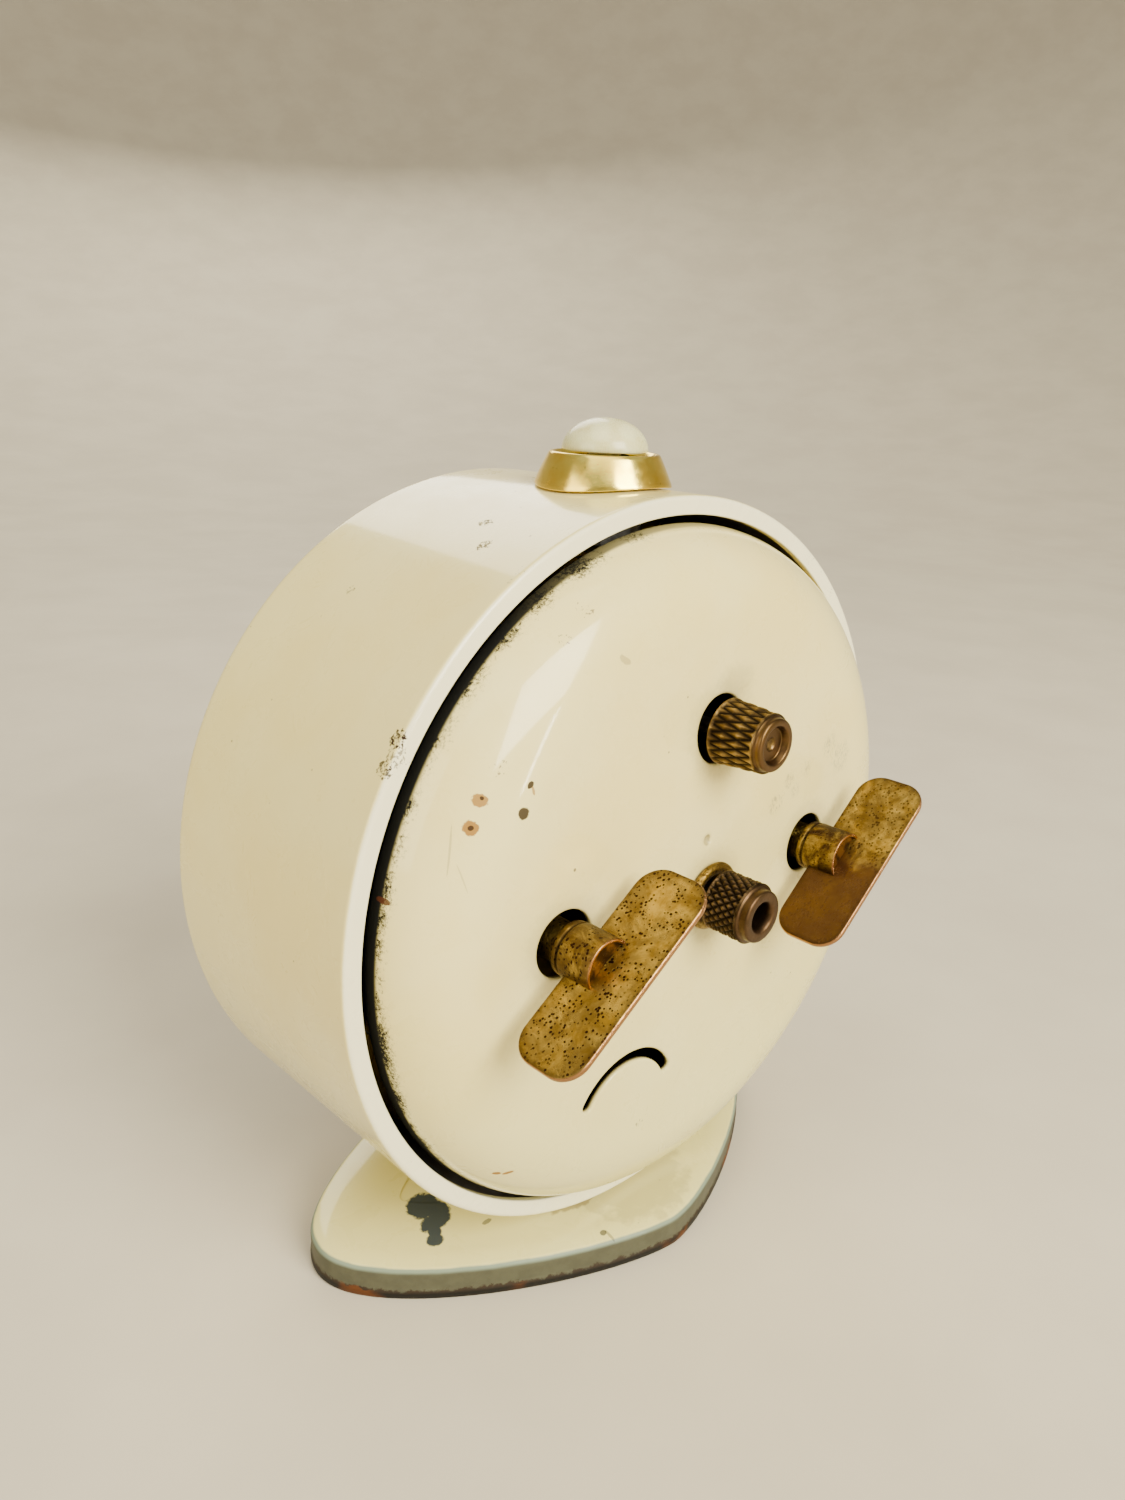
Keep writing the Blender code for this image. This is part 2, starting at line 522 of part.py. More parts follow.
def escapement():
    to_wheel = math.degrees(math.atan2(ESCAPE[1] - LEVER[1], ESCAPE[0] - LEVER[0]))
    to_staff = math.degrees(math.atan2(BALANCE[1] - LEVER[1], BALANCE[0] - LEVER[0]))
    reach = dist(LEVER, BALANCE) - 2.6
    hub = (to_wheel, to_wheel + 80, to_staff - 35, to_staff - 80, to_staff + 40)
    plate = [polar(LEVER, 1.3, a) for a in hub]
    plate += [polar(LEVER, 5.4, to_wheel + a) for a in (56, 44, -44, -56)]
    plate += [polar(LEVER, reach, to_staff + a) for a in (-9, -4, 4, 9)] + [polar(LEVER, reach - 1.4, to_staff)]
    plate = around(LEVER, plate)
    thin = circle(LEVER, 0.55, 8)
    lever = stack("pallet_lever", [(thin, [], -26.2, -14.4), (plate, [], -14.4, -13.8), (thin, [], -13.8, -0.5)])
    for side in (-50, 50):
        join(lever, stack("pin", [(circle(polar(LEVER, 4.7, to_wheel + side), 0.25, 6), [], -14.0, -11.2)]))
    rim_in, rim_out = 6.6, 8.2
    y0, y1 = -18.2, -17.0
    staff, crossings = circle(BALANCE, 0.7, 8), windows(BALANCE, 1.9, rim_in, 2, half=78, steps=9)
    stack("balance_wheel", [(staff, [], -24.2, y0), (circle(BALANCE, rim_out, 24), crossings, y0, y1),
                            (staff, [], y1, -3.0)])
    for tag, lo, hi in (("front", -28.2, -24.6), ("back", -2.6, 2.4)):
        stack("balance_pivot_" + tag, [(circle(BALANCE, 1.5, 12), [], lo, hi)])
    stack("hairspring", [(spiral(BALANCE, 1.3, 5.2, 3, 0.18, 14, 20.0), [], -21.2, -20.2)])
    tail = [polar(BALANCE, r, a) for r, a in ((3.4, 75), (10.2, 85.5), (10.6, 90), (10.2, 94.5), (3.4, 105))]
    hub = [polar(BALANCE, 3.4, a) for a in (135, 180, 225, 270, 315, 0, 45)]
    regulator = stack("regulator_lever", [(tail + hub, [], 0.3, 1.0)], [circle(BALANCE, 1.75, 16)])
    pointer = [polar(BALANCE, r, a) for r, a in ((7.8, 86.5), (8.5, 86.5), (8.5, 93.5), (7.8, 93.5))]
    join(regulator, stack("pointer", [(pointer, [], 0.6, 6.4)]))


def alarm_train():
    great_wheel("alarm", ALARM, ALARM_TEETH, M_ALARM, 4.0, 8.6, -1)
    ps = mesh_phase(ALARM, ALARM_TEETH, 4.0, STRIKE, STRIKE_PINION)
    thin = circle(STRIKE, 0.55, 8)
    pinion, escape = gear(STRIKE, STRIKE_PINION, M_ALARM, ps), ratchet(STRIKE, STRIKE_TEETH, 4.8, 3.4)
    stack("alarm_escape_wheel", [(thin, [], -26.2, -16.2), (pinion, [], -16.2, -13.0), (thin, [], -13.0, -9.0),
                                 (escape, [], -9.0, -8.2), (thin, [], -8.2, -0.5)])
    back = math.degrees(math.atan2(STRIKE[1] - HAMMER[1], STRIKE[0] - HAMMER[0]))
    thin = circle(HAMMER, 0.55, 8)
    plate = [polar(HAMMER, 1.4, back + a) for a in (0, 90, 135, 180, 225, 270)]
    plate = around(HAMMER, plate + [polar(HAMMER, 4.6, back + a) for a in (46, 36, -36, -46)])
    stack("hammer_arbor", [(thin, [], -26.2, -9.0), (plate, [], -9.0, -8.2), (thin, [], -8.2, 0.25)])
    to = math.degrees(math.atan2(HAMMER_HEAD[1] - HAMMER[1], HAMMER_HEAD[0] - HAMMER[0]))
    hub = [polar(HAMMER, 2.0, to + d) for d in range(45, 316, 30)]
    head = [polar(HAMMER_HEAD, 2.7, to + d) for d in range(-160, 161, 20)]
    stack("hammer", [(hub + head, [], 0.3, 1.0), (circle(HAMMER_HEAD, 2.5, 14), [], 1.0, 3.4)])


def motion_work():
    """Wheels and hands between the front plate and the glass."""
    pm = mesh_phase(CENTRE, CANNON, 0.0, MINUTE, MINUTE_TEETH)
    ph = mesh_phase(MINUTE, MINUTE_PINION, 0.0, CENTRE, HOUR_TEETH)
    stack("centre_arbor", [(circle(CENTRE, 1.05, 16), [], -36.6, -28.6),
                           (gear(CENTRE, CANNON, M_CANNON, 0.0), [], -28.6, -27.2),
                           (circle(CENTRE, 1.05, 16), [], -27.2, 11.6)])
    stack("minute_wheel", [(gear(MINUTE, MINUTE_PINION, M_HOUR, 0.0), [], -30.6, -28.6),
                           (gear(MINUTE, MINUTE_TEETH, M_CANNON, pm), [], -28.6, -27.8)], [circle(MINUTE, 0.9, 12)])
    stack("minute_stud", [(circle(MINUTE, 0.7, 12), [], -30.65, FRONT_PLATE[0] - 0.4),
                          (circle(MINUTE, 0.85, 12), [], FRONT_PLATE[0] - 0.4, FRONT_PLATE[1] + 0.8)])
    teeth = gear(CENTRE, HOUR_TEETH, M_HOUR, ph)
    stack("hour_wheel", [(circle(CENTRE, 1.9, 20), [], -34.6, -30.0), (teeth, [], -30.0, -29.2)],
          [circle(CENTRE, 1.3, 16)])
    pa = mesh_phase(SETTER, SET_PINION, 0.0, CENTRE, ALARM_WHEEL)
    teeth = gear(CENTRE, ALARM_WHEEL, M_SET, pa)
    stack("alarm_wheel", [(circle(CENTRE, 2.9, 20), [], -33.3, -31.3), (teeth, [], -31.3, -30.8)],
          [circle(CENTRE, 2.15, 20)])
    stack("alarm_set_arbor", [(gear(SETTER, SET_PINION, M_SET, 0.0), [], -31.4, -30.5),
                              (circle(SETTER, 1.0, 14), [], -30.5, 11.0)])


def hand(name, y0, bore, hub, length, width, degrees):
    """A tapered hand with a round hub, pointing at degrees (0 is three o'clock)."""
    tip = [polar(CENTRE, length, degrees - 0.6), polar(CENTRE, length, degrees + 0.6)]
    w = math.degrees(math.asin(width / 2 / hub))
    loop = tip + [polar(CENTRE, hub, degrees + w)]
    loop += [polar(CENTRE, hub, degrees + w + (360 - 2 * w) * k / 12) for k in range(1, 12)]
    loop += [polar(CENTRE, hub, degrees - w)]
    stack(name, [(loop, [], y0, y0 + 0.35)], [circle(CENTRE, bore, 16)])


def hands():
    hand("minute_hand", -36.4, 1.25, 2.6, 36.0, 3.0, 90 - 54)
    hand("hour_hand", -34.5, 2.1, 3.6, 24.0, 4.2, 90 + 55.5)
    hand("alarm_hand", -33.1, 3.1, 4.4, 17.0, 2.0, 90)


def knurled(name, c, r0, r1, y0, y1, bore, bore_y, n=18):
    """A tapered knob with a ribbed rim and a blind hole in its end."""
    def ribbed(r):
        return [polar(c, r - (0.35 if k % 2 else 0.0), 180.0 * k / n) for k in range(2 * n)]
    b = Builder()
    low, high = along_y(y0), along_y(y1)
    edge, brim = ribbed(r0), ribbed(r1)
    core, well = circle(c, bore, 16), circle(c, 1.9, 16)
    b.flat(edge, [core], low)
    for (p, q), (s, t) in zip(zip(edge, edge[1:] + edge[:1]), zip(brim, brim[1:] + brim[:1])):
        b.face([low(*p), low(*q), high(*t), high(*s)])
    b.flat(brim, [well], high)
    b.wall(well, along_y(bore_y + 1.0), high)
    b.flat(well, [], along_y(bore_y + 1.0))
    b.wall(core, low, along_y(bore_y))
    b.flat(core, [], along_y(bore_y))
    return finish(b.bm, name)


def knobs():
    knurled("time_set_knob", CENTRE, 4.05, 4.05, 11.1, 17.7, 1.2, 12.2)
    knurled("alarm_set_knob", SETTER, 4.3, 3.5, 9.6, 17.0, 1.15, 11.4)


# ---- colours ---------------------------------------------------------------------
CREAM, BRASS, STEEL = (0.86, 0.82, 0.68), (0.75, 0.58, 0.24), (0.55, 0.56, 0.58)
IVORY, BLUED, DIAL = (0.93, 0.9, 0.8), (0.1, 0.12, 0.2), (0.92, 0.9, 0.84)
PAINT = {"case_shell": CREAM, "back_cover": CREAM, "foot_pan": CREAM, "stop_button": IVORY, "dial_plate": DIAL,
         "glass_lens": (0.8, 0.9, 0.92), "minute_hand": BLUED, "hour_hand": BLUED, "alarm_hand": BRASS}
STEELY = ("screw", "nut", "spring", "arbor", "lever", "pivot", "hammer", "click", "stud", "guide")


def colour():
    for obj in bpy.data.objects:
        steel = any(word in obj.name for word in STEELY)
        rgb = PAINT.get(obj.name, STEEL if steel else BRASS)
        mat = bpy.data.materials.new(obj.name + "_finish")
        mat.use_nodes = True
        node = mat.node_tree.nodes["Principled BSDF"]
        node.inputs["Base Color"].default_value = (*rgb, 1.0)
        node.inputs["Metallic"].default_value = 0.0 if obj.name in PAINT else 1.0
        node.inputs["Roughness"].default_value = 0.35
        obj.data.materials.clear()
        obj.data.materials.append(mat)


def main():
    for obj in list(bpy.data.objects):
        bpy.data.objects.remove(obj)
    case()
    bell()
    foot()
    button()
    key("time", TIME, 1, TIME_SLOPE)
    key("alarm", ALARM, -1, ALARM_SLOPE)
    springs()
    plates()
    going_train()
    escapement()
    alarm_train()
    motion_work()
    hands()
    knobs()
    colour()


main()
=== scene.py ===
"""Looks for the bell-back alarm clock: enamelled drum on a foot, brass keys and knobs, dial and movement.

Lengths are millimetres from the case axis and the plane of the case's rear lip: x across, y towards
the back, z up.  spot() turns them into the frame's metres, and the driving sizes are read off the frame.
"""
import math

import bmesh
import bpy
from mathutils import Matrix, Vector
from mathutils.geometry import delaunay_2d_cdt


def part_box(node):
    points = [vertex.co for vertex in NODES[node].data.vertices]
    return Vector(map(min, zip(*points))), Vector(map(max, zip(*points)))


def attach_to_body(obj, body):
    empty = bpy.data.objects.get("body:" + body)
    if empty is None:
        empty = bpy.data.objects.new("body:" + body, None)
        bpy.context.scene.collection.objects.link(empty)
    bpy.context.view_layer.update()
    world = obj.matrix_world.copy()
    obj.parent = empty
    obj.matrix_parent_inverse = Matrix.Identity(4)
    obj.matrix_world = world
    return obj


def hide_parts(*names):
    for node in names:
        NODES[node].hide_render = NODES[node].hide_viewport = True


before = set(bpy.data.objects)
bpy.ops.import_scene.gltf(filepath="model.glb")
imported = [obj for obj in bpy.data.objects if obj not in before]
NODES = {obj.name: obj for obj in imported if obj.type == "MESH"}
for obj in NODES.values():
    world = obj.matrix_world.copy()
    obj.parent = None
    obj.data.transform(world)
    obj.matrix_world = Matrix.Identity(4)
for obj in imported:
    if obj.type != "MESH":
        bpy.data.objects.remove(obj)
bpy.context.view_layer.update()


# ---- sizes read off the frame ------------------------------------------------
def span(node):
    lo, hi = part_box(node)
    return lo * 1000, hi * 1000


SHELL_LO, SHELL_HI = span("case_shell")
CASE_R = (SHELL_HI.x - SHELL_LO.x) / 2
AXIS_Z = SHELL_HI.z - CASE_R
LIP_Y = SHELL_HI.y


def spot(x, y, z):
    return Vector((x, y + LIP_Y, z + AXIS_Z)) * 0.001


def centre(node):
    """(x, z) of a turned node."""
    lo, hi = span(node)
    return ((lo.x + hi.x) / 2, (lo.z + hi.z) / 2 - AXIS_Z)


def reach(node):
    """(lowest, highest) y of a node."""
    lo, hi = span(node)
    return (lo.y - LIP_Y, hi.y - LIP_Y)


def radius(node):
    lo, hi = span(node)
    return (hi.x - lo.x) / 2


TIME, ALARM = centre("time_key_stem"), centre("alarm_key_stem")
SETTER, BALANCE = centre("alarm_set_knob"), centre("balance_pivot_back")
FRONT = reach("case_shell")[0]
BELL_R, BELL_TOP = radius("back_cover"), reach("back_cover")[1]
RIM_Y = reach("back_cover")[0]
LIP_R = 47.6
SHEET = 0.7
BELL_EDGE, BELL_RISE, BELL_WALL = 12.0, 0.8, 0.8
CROWN_R = BELL_R - BELL_EDGE
SHOULDER_Y = BELL_TOP - BELL_RISE
KEY_HALF, KEY_CORNER = 13.7, 3.4
SHANK_R, GROOVE_Y, BARREL_DULL = 2.6, 10.35, 0.30
KEY_SLOPE = {"time": -36.4, "alarm": -41.0}
KEY_HOLE, SETTER_HOLE, CENTRE_HOLE = 4.25, 4.5, 2.9
HOLES = ((TIME, KEY_HOLE), (ALARM, KEY_HOLE), (SETTER, SETTER_HOLE), ((0.0, 0.0), CENTRE_HOLE))
SLOT_R, SLOT_HALF, SLOT_FROM, SLOT_TO = 8.2, 0.75, 29.0, 151.0
DIMPLE = (1.2, 7.9)


# ---- mesh tools --------------------------------------------------------------
def linked(name, data):
    """A new object in the scene."""
    obj = bpy.data.objects.new(name, data)
    bpy.context.scene.collection.objects.link(obj)
    return obj


def closed_mesh(name, verts, faces, weld=None, outwards=True):
    """A smooth mesh, its doubled points welded when a distance is given."""
    mesh = bpy.data.meshes.new(name)
    mesh.from_pydata(verts, [], faces)
    bm = bmesh.new()
    bm.from_mesh(mesh)
    if weld:
        bmesh.ops.remove_doubles(bm, verts=bm.verts, dist=weld)
    if outwards:
        bmesh.ops.recalc_face_normals(bm, faces=bm.faces)
    bm.to_mesh(mesh)
    bm.free()
    mesh.polygons.foreach_set("use_smooth", [True] * len(mesh.polygons))
    return mesh


def piece(name, verts, faces, body, slot, *nodes):
    """A smooth mesh that rides on a body and stands for CAD nodes."""
    return attach(linked(name, closed_mesh(name, verts, faces, 1e-7)), body, slot, *nodes)


def attach(obj, body, slot, *nodes):
    weigh = obj.modifiers.new("weighted_normals", "WEIGHTED_NORMAL")
    weigh.keep_sharp = True
    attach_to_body(obj, body)
    if nodes:
        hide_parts(*nodes)
    return obj


def rounded(corners, steps=4):
    """Outline of (a, b, radius) corners, each corner rounded."""
    out = []
    for i, (a, b, r) in enumerate(corners):
        p = Vector((a, b))
        before = Vector(corners[i - 1][:2]) - p
        after = Vector(corners[(i + 1) % len(corners)][:2]) - p
        cut = min(r, before.length * 0.49, after.length * 0.49)
        if cut < 1e-4:
            out.append((a, b))
            continue
        s, e = p + before.normalized() * cut, p + after.normalized() * cut
        for k in range(steps + 1):
            t = k / steps
            q = s * (1 - t) ** 2 + p * 2 * t * (1 - t) + e * t * t
            out.append((q.x, q.y))
    return out


def rows(outline, longest):
    """The outline with its long runs divided."""
    out = []
    for p, q in zip(outline, outline[1:] + outline[:1]):
        n = max(1, math.ceil(math.dist(p, q) / longest))
        out += [(p[0] + (q[0] - p[0]) * k / n, p[1] + (q[1] - p[1]) * k / n) for k in range(n)]
    return out


def revolve(outline, c=(0.0, 0.0), seg=128, upright=False, shape=None):
    """Closed (radius, height) outline turned about an axis along y, or along z through (x, y) = c."""
    verts, faces, rings = [], [], []
    for r, h in outline:
        if r < 1e-6:
            rings.append([len(verts)] * seg)
            verts.append(spot(c[0], c[1], h) if upright else spot(c[0], h, c[1]))
            continue
        rings.append(list(range(len(verts), len(verts) + seg)))
        for i in range(seg):
            a = 2 * math.pi * i / seg
            s = shape(r, h, a) if shape else r
            x, w = c[0] + s * math.cos(a), c[1] + s * math.sin(a)
            verts.append(spot(x, w, h) if upright else spot(x, h, w))
    for a, b in zip(rings, rings[1:] + rings[:1]):
        for i in range(seg):
            j = (i + 1) % seg
            face = list(dict.fromkeys((a[i], a[j], b[j], b[i])))
            if len(face) > 2:
                faces.append(face)
    return verts, faces


def bore(obj, c, r, z0, z1, seg=40):
    """Drills a vertical hole through obj."""
    verts, faces = revolve([(0, z0), (r, z0), (r, z1), (0, z1)], c, seg, upright=True)
    carve(obj, verts, faces)


def carve(obj, verts, faces):
    """Cuts a closed shape out of obj."""
    mesh = bpy.data.meshes.new("cutter")
    mesh.from_pydata(verts, [], faces)
    bm = bmesh.new()
    bm.from_mesh(mesh)
    bmesh.ops.recalc_face_normals(bm, faces=bm.faces)
    bm.to_mesh(mesh)
    bm.free()
    cutter = linked("cutter", mesh)
    mod = obj.modifiers.new("carve", "BOOLEAN")
    mod.operation, mod.solver, mod.object = "DIFFERENCE", "EXACT", cutter
    obj.modifiers.move(len(obj.modifiers) - 1, 0)
    normals = obj.modifiers["weighted_normals"]
    normals.show_viewport = False
    bpy.context.view_layer.update()
    result = bpy.data.meshes.new_from_object(obj.evaluated_get(bpy.context.evaluated_depsgraph_get()))
    obj.modifiers.remove(mod)
    normals.show_viewport = True
    obj.data = result
    bpy.data.objects.remove(cutter)


def sharpen(obj, degrees):
    """Keeps edges steeper than this crisp."""
    bm = bmesh.new()
    bm.from_mesh(obj.data)
    for e in bm.edges:
        e.smooth = len(e.link_faces) == 2 and e.calc_face_angle(0.0) < math.radians(degrees)
    bm.to_mesh(obj.data)
    bm.free()


def paint(obj, name, value):
    """Stores value(x, y, z) in case millimetres at each vertex, for the material to read."""
    layer = obj.data.attributes.new(name, "FLOAT", "POINT")
    layer.data.foreach_set("value", [value(v.co.x * 1000, v.co.y * 1000 - LIP_Y, v.co.z * 1000 - AXIS_Z)
                                     for v in obj.data.vertices])


# ---- material tools ------------------------------------------------------------
class Finish:
    """Builds one material; places are the object's own coordinates, which move with it."""

    def __init__(self, name, **sockets):
        self.mat = bpy.data.materials.new(name)
        self.mat.use_nodes = True
        self.tree = self.mat.node_tree
        self.shader = self.tree.nodes["Principled BSDF"]
        self.place = self.add("ShaderNodeTexCoord").outputs["Object"]
        self.heights = []
        for label, value in sockets.items():
            self.shader.inputs[label.replace("_", " ").title().replace("Ior", "IOR")].default_value = value

    def add(self, kind, links=(), **values):
        node = self.tree.nodes.new(kind)
        for key, value in values.items():
            setattr(node, key, value)
        for key, value in dict(links).items():
            self.feed(node.inputs[key], value)
        return node

    def feed(self, socket, value):
        if isinstance(value, bpy.types.NodeSocket):
            self.tree.links.new(value, socket)
        elif isinstance(value, tuple) and len(value) == 3 and socket.type == "RGBA":
            socket.default_value = (*value, 1.0)
        else:
            socket.default_value = value

    def noise(self, size, detail=3.0, rough=0.5, twist=0.0, at=None):
        """Cloudy value about 0.5; size in millimetres."""
        node = self.add("ShaderNodeTexNoise", {"Vector": at or self.place, "Scale": 1000.0 / size,
                                               "Detail": detail, "Roughness": rough, "Distortion": twist})
        return node.outputs["Fac"]

    def cells(self, size):
        """Distance to the nearest of scattered points; size in millimetres."""
        node = self.add("ShaderNodeTexVoronoi", {"Vector": self.place, "Scale": 1000.0 / size})
        return node.outputs["Distance"]

    def drawn(self, scale, rotation=(0.0, 0.0, 0.0), location=(0.0, 0.0, 0.0)):
        """The place, stretched by scale after a turn, for grain and scratches."""
        node = self.add("ShaderNodeMapping", {"Vector": self.place, "Rotation": rotation, "Scale": scale,
                                              "Location": location})
        return node.outputs["Vector"]

    def times(self, a, b):
        return self.add("ShaderNodeMath", {0: a, 1: b}, operation="MULTIPLY").outputs[0]

    def less(self, a, b):
        return self.add("ShaderNodeMath", {0: a, 1: b}, operation="SUBTRACT").outputs[0]

    def most(self, a, b):
        return self.add("ShaderNodeMath", {0: a, 1: b}, operation="MAXIMUM").outputs[0]

    def power(self, a, b):
        return self.add("ShaderNodeMath", {0: a, 1: b}, operation="POWER").outputs[0]

    def scaled(self, a, b, c):
        """a times b, plus c."""
        return self.add("ShaderNodeMath", {0: a, 1: b, 2: c}, operation="MULTIPLY_ADD").outputs[0]

    def ease(self, value, low, high, to_low=0.0, to_high=1.0):
        """Smooth step from low to high."""
        node = self.add("ShaderNodeMapRange", {"Value": value, "From Min": low, "From Max": high,
                                               "To Min": to_low, "To Max": to_high},
                        interpolation_type="SMOOTHSTEP")
        return node.outputs["Result"]

    def mix(self, share, a, b):
        node = self.add("ShaderNodeMix", data_type="RGBA")
        for socket, value in ((node.inputs[0], share), (node.inputs[6], a), (node.inputs[7], b)):
            self.feed(socket, value)
        return node.outputs[2]

    def lay(self, colour, mask, share, tint):
        """The tint over the colour, by mask and share."""
        return self.mix(self.times(mask, share), colour, tint)

    def bared(self, mask):
        """Where the clear gloss is missing."""
        self.bare = self.most(self.bare, mask)

    def blend(self, share, a, b):
        node = self.add("ShaderNodeMix", data_type="FLOAT")
        for socket, value in ((node.inputs[0], share), (node.inputs[2], a), (node.inputs[3], b)):
            self.feed(socket, value)
        return node.outputs[0]

    def axes(self):
        """x, y and z of the place, in metres."""
        return self.add("ShaderNodeSeparateXYZ", {0: self.place}).outputs

    def stored(self, name):
        return self.add("ShaderNodeAttribute", attribute_name=name).outputs["Fac"]

    def blot(self, at, size, ragged=0.4, turn=0.0, jitter=None, edge=0.25):
        """1 inside a ragged ellipsoid of half sizes (mm) at a case point, turned about y."""
        local = self.add("ShaderNodeMapping", {"Vector": self.place, "Location": tuple(spot(*at)),
                                               "Rotation": (0.0, math.radians(turn), 0.0),
                                               "Scale": tuple(s * 0.001 for s in size)},
                         vector_type="TEXTURE")
        away = self.add("ShaderNodeVectorMath", {0: local.outputs["Vector"]}, operation="LENGTH")
        away = away.outputs["Value"]
        if jitter is not None:
            away = self.scaled(jitter, 2 * ragged, away)
        return self.ease(away, 1.0 + ragged, 1.0 + ragged - edge)

    def height(self, value, depth, strength=1.0):
        """Adds relief: value 0 to 1 stands for this depth in millimetres."""
        self.heights.append((value, depth, strength))

    def done(self, colour=None, rough=None, metal=None):
        for name, value in (("Base Color", colour), ("Roughness", rough), ("Metallic", metal)):
            if value is not None:
                self.feed(self.shader.inputs[name], value)
        normal = None
        for value, depth, strength in self.heights:
            bump = self.add("ShaderNodeBump",
                            {"Height": value, "Distance": depth * 0.001, "Strength": strength})
            if normal is not None:
                self.feed(bump.inputs["Normal"], normal)
            normal = bump.outputs["Normal"]
        if normal is not None:
            self.feed(self.shader.inputs["Normal"], normal)
        return self.mat


def wear(obj, material):
    obj.data.materials.clear()
    obj.data.materials.append(material)


# ---- colours -------------------------------------------------------------------
CREAM, CREAM_WARM, CREAM_COOL_AND_SHADE = (0.81, 0.705, 0.30), (0.79, 0.665, 0.245), (0.70, 0.68, 0.295)
LIP_HIGHLIGHT = (0.90, 0.86, 0.60)
RUST, RUST_PALE, RUST_DARK = (0.20, 0.048, 0.006), (0.26, 0.105, 0.005), (0.022, 0.009, 0.004)
GRIME_AND_SHADE, SOOT_AND_SHADE, SMUDGE = (0.10, 0.072, 0.034), (0.004, 0.004, 0.003), (0.17, 0.16, 0.12)
PRIMER, PRIMER_LIGHT, PRIMER_DARK_AND_SHADE = (0.082, 0.082, 0.050), (0.20, 0.25, 0.18), (0.042, 0.039, 0.026)
SLATE = (0.040, 0.050, 0.052)
BRASS, BRASS_PALE, BRASS_BROWN = (0.27, 0.165, 0.025), (0.45, 0.31, 0.070), (0.045, 0.023, 0.008)
WORN_EDGE_AND_HIGHLIGHT = (0.40, 0.20, 0.085)
BRONZE, BRONZE_DARK = (0.062, 0.038, 0.017), (0.009, 0.006, 0.004)
GOLD, GOLD_DEEP = (1.0, 0.82, 0.17), (0.96, 0.68, 0.095)
STEEL, STEEL_DARK, BLUE_STEEL = (0.46, 0.46, 0.45), (0.18, 0.17, 0.16), (0.02, 0.035, 0.11)
IVORY, IVORY_DEEP = (0.70, 0.68, 0.375), (0.61, 0.56, 0.27)
DIAL, DIAL_AGED, INK, LUME = (0.72, 0.66, 0.46), (0.60, 0.50, 0.30), (0.012, 0.012, 0.013), (0.50, 0.54, 0.27)
FLOOR, FLOOR_SHADE = (0.62, 0.565, 0.44), (0.57, 0.515, 0.40)


# ---- bell back -----------------------------------------------------------------
def crown(r):
    """Height of the bell's outer face at a distance from the axis."""
    if r <= CROWN_R:
        return SHOULDER_Y + BELL_RISE * (1 - (r / CROWN_R) ** 2)
    u = min((r - CROWN_R) / BELL_EDGE, 1.0)
    return RIM_Y + (SHOULDER_Y - RIM_Y) * math.sqrt(1 - u * u)


def polar(r, degrees, c=(0.0, 0.0)):
    a = math.radians(degrees)
    return (c[0] + r * math.cos(a), c[1] + r * math.sin(a))


def ring(c, r, n):
    return [polar(r, 360 * k / n, c) for k in range(n)]


def slot_ring(grow, n=44, cap=10):
    """Outline of the regulator slot, grown outwards."""
    half = SLOT_HALF + grow
    angles = [SLOT_FROM + (SLOT_TO - SLOT_FROM) * k / n for k in range(n + 1)]

    def end(angle, side):
        c = polar(SLOT_R, angle, BALANCE)
        return [polar(half, angle + side * 180 * k / cap, c) for k in range(1, cap)]
    return ([polar(SLOT_R + half, a, BALANCE) for a in angles] + end(SLOT_TO, 1)
            + [polar(SLOT_R - half, a, BALANCE) for a in reversed(angles)] + end(SLOT_FROM, -1)[::-1])


def inside(p, loop):
    hit = False
    for (x0, z0), (x1, z1) in zip(loop, loop[1:] + loop[:1]):
        if (z0 > p[1]) != (z1 > p[1]) and p[0] < (x1 - x0) * (p[1] - z0) / (z1 - z0) + x0:
            hit = not hit
    return hit


LIP_STEPS = (0.0, 0.05, 0.14, 0.26, 0.42)
LIP_ROLL = 0.42


def slot_gap(x, z):
    """Distance from the regulator slot's edge."""
    a = math.degrees(math.atan2(z - BALANCE[1], x - BALANCE[0]))
    return math.dist((x, z), polar(SLOT_R, min(max(a, SLOT_FROM), SLOT_TO), BALANCE)) - SLOT_HALF


def hole_gap(x, z):
    """Distance from the nearest opening in the crown."""
    return min(slot_gap(x, z), *(math.dist((x, z), c) - r for c, r in HOLES))


def crown_face(x, z):
    """Outer height of the crown with rolled hole edges and the small dimple."""
    gap = max(hole_gap(x, z), 0.0)
    y = crown(math.hypot(x, z))
    if gap < LIP_ROLL:
        y -= 0.30 * (1 - math.sqrt(1 - (1 - gap / LIP_ROLL) ** 2))
    return y - 0.45 * math.exp(-(math.dist((x, z), DIMPLE) / 0.62) ** 4)


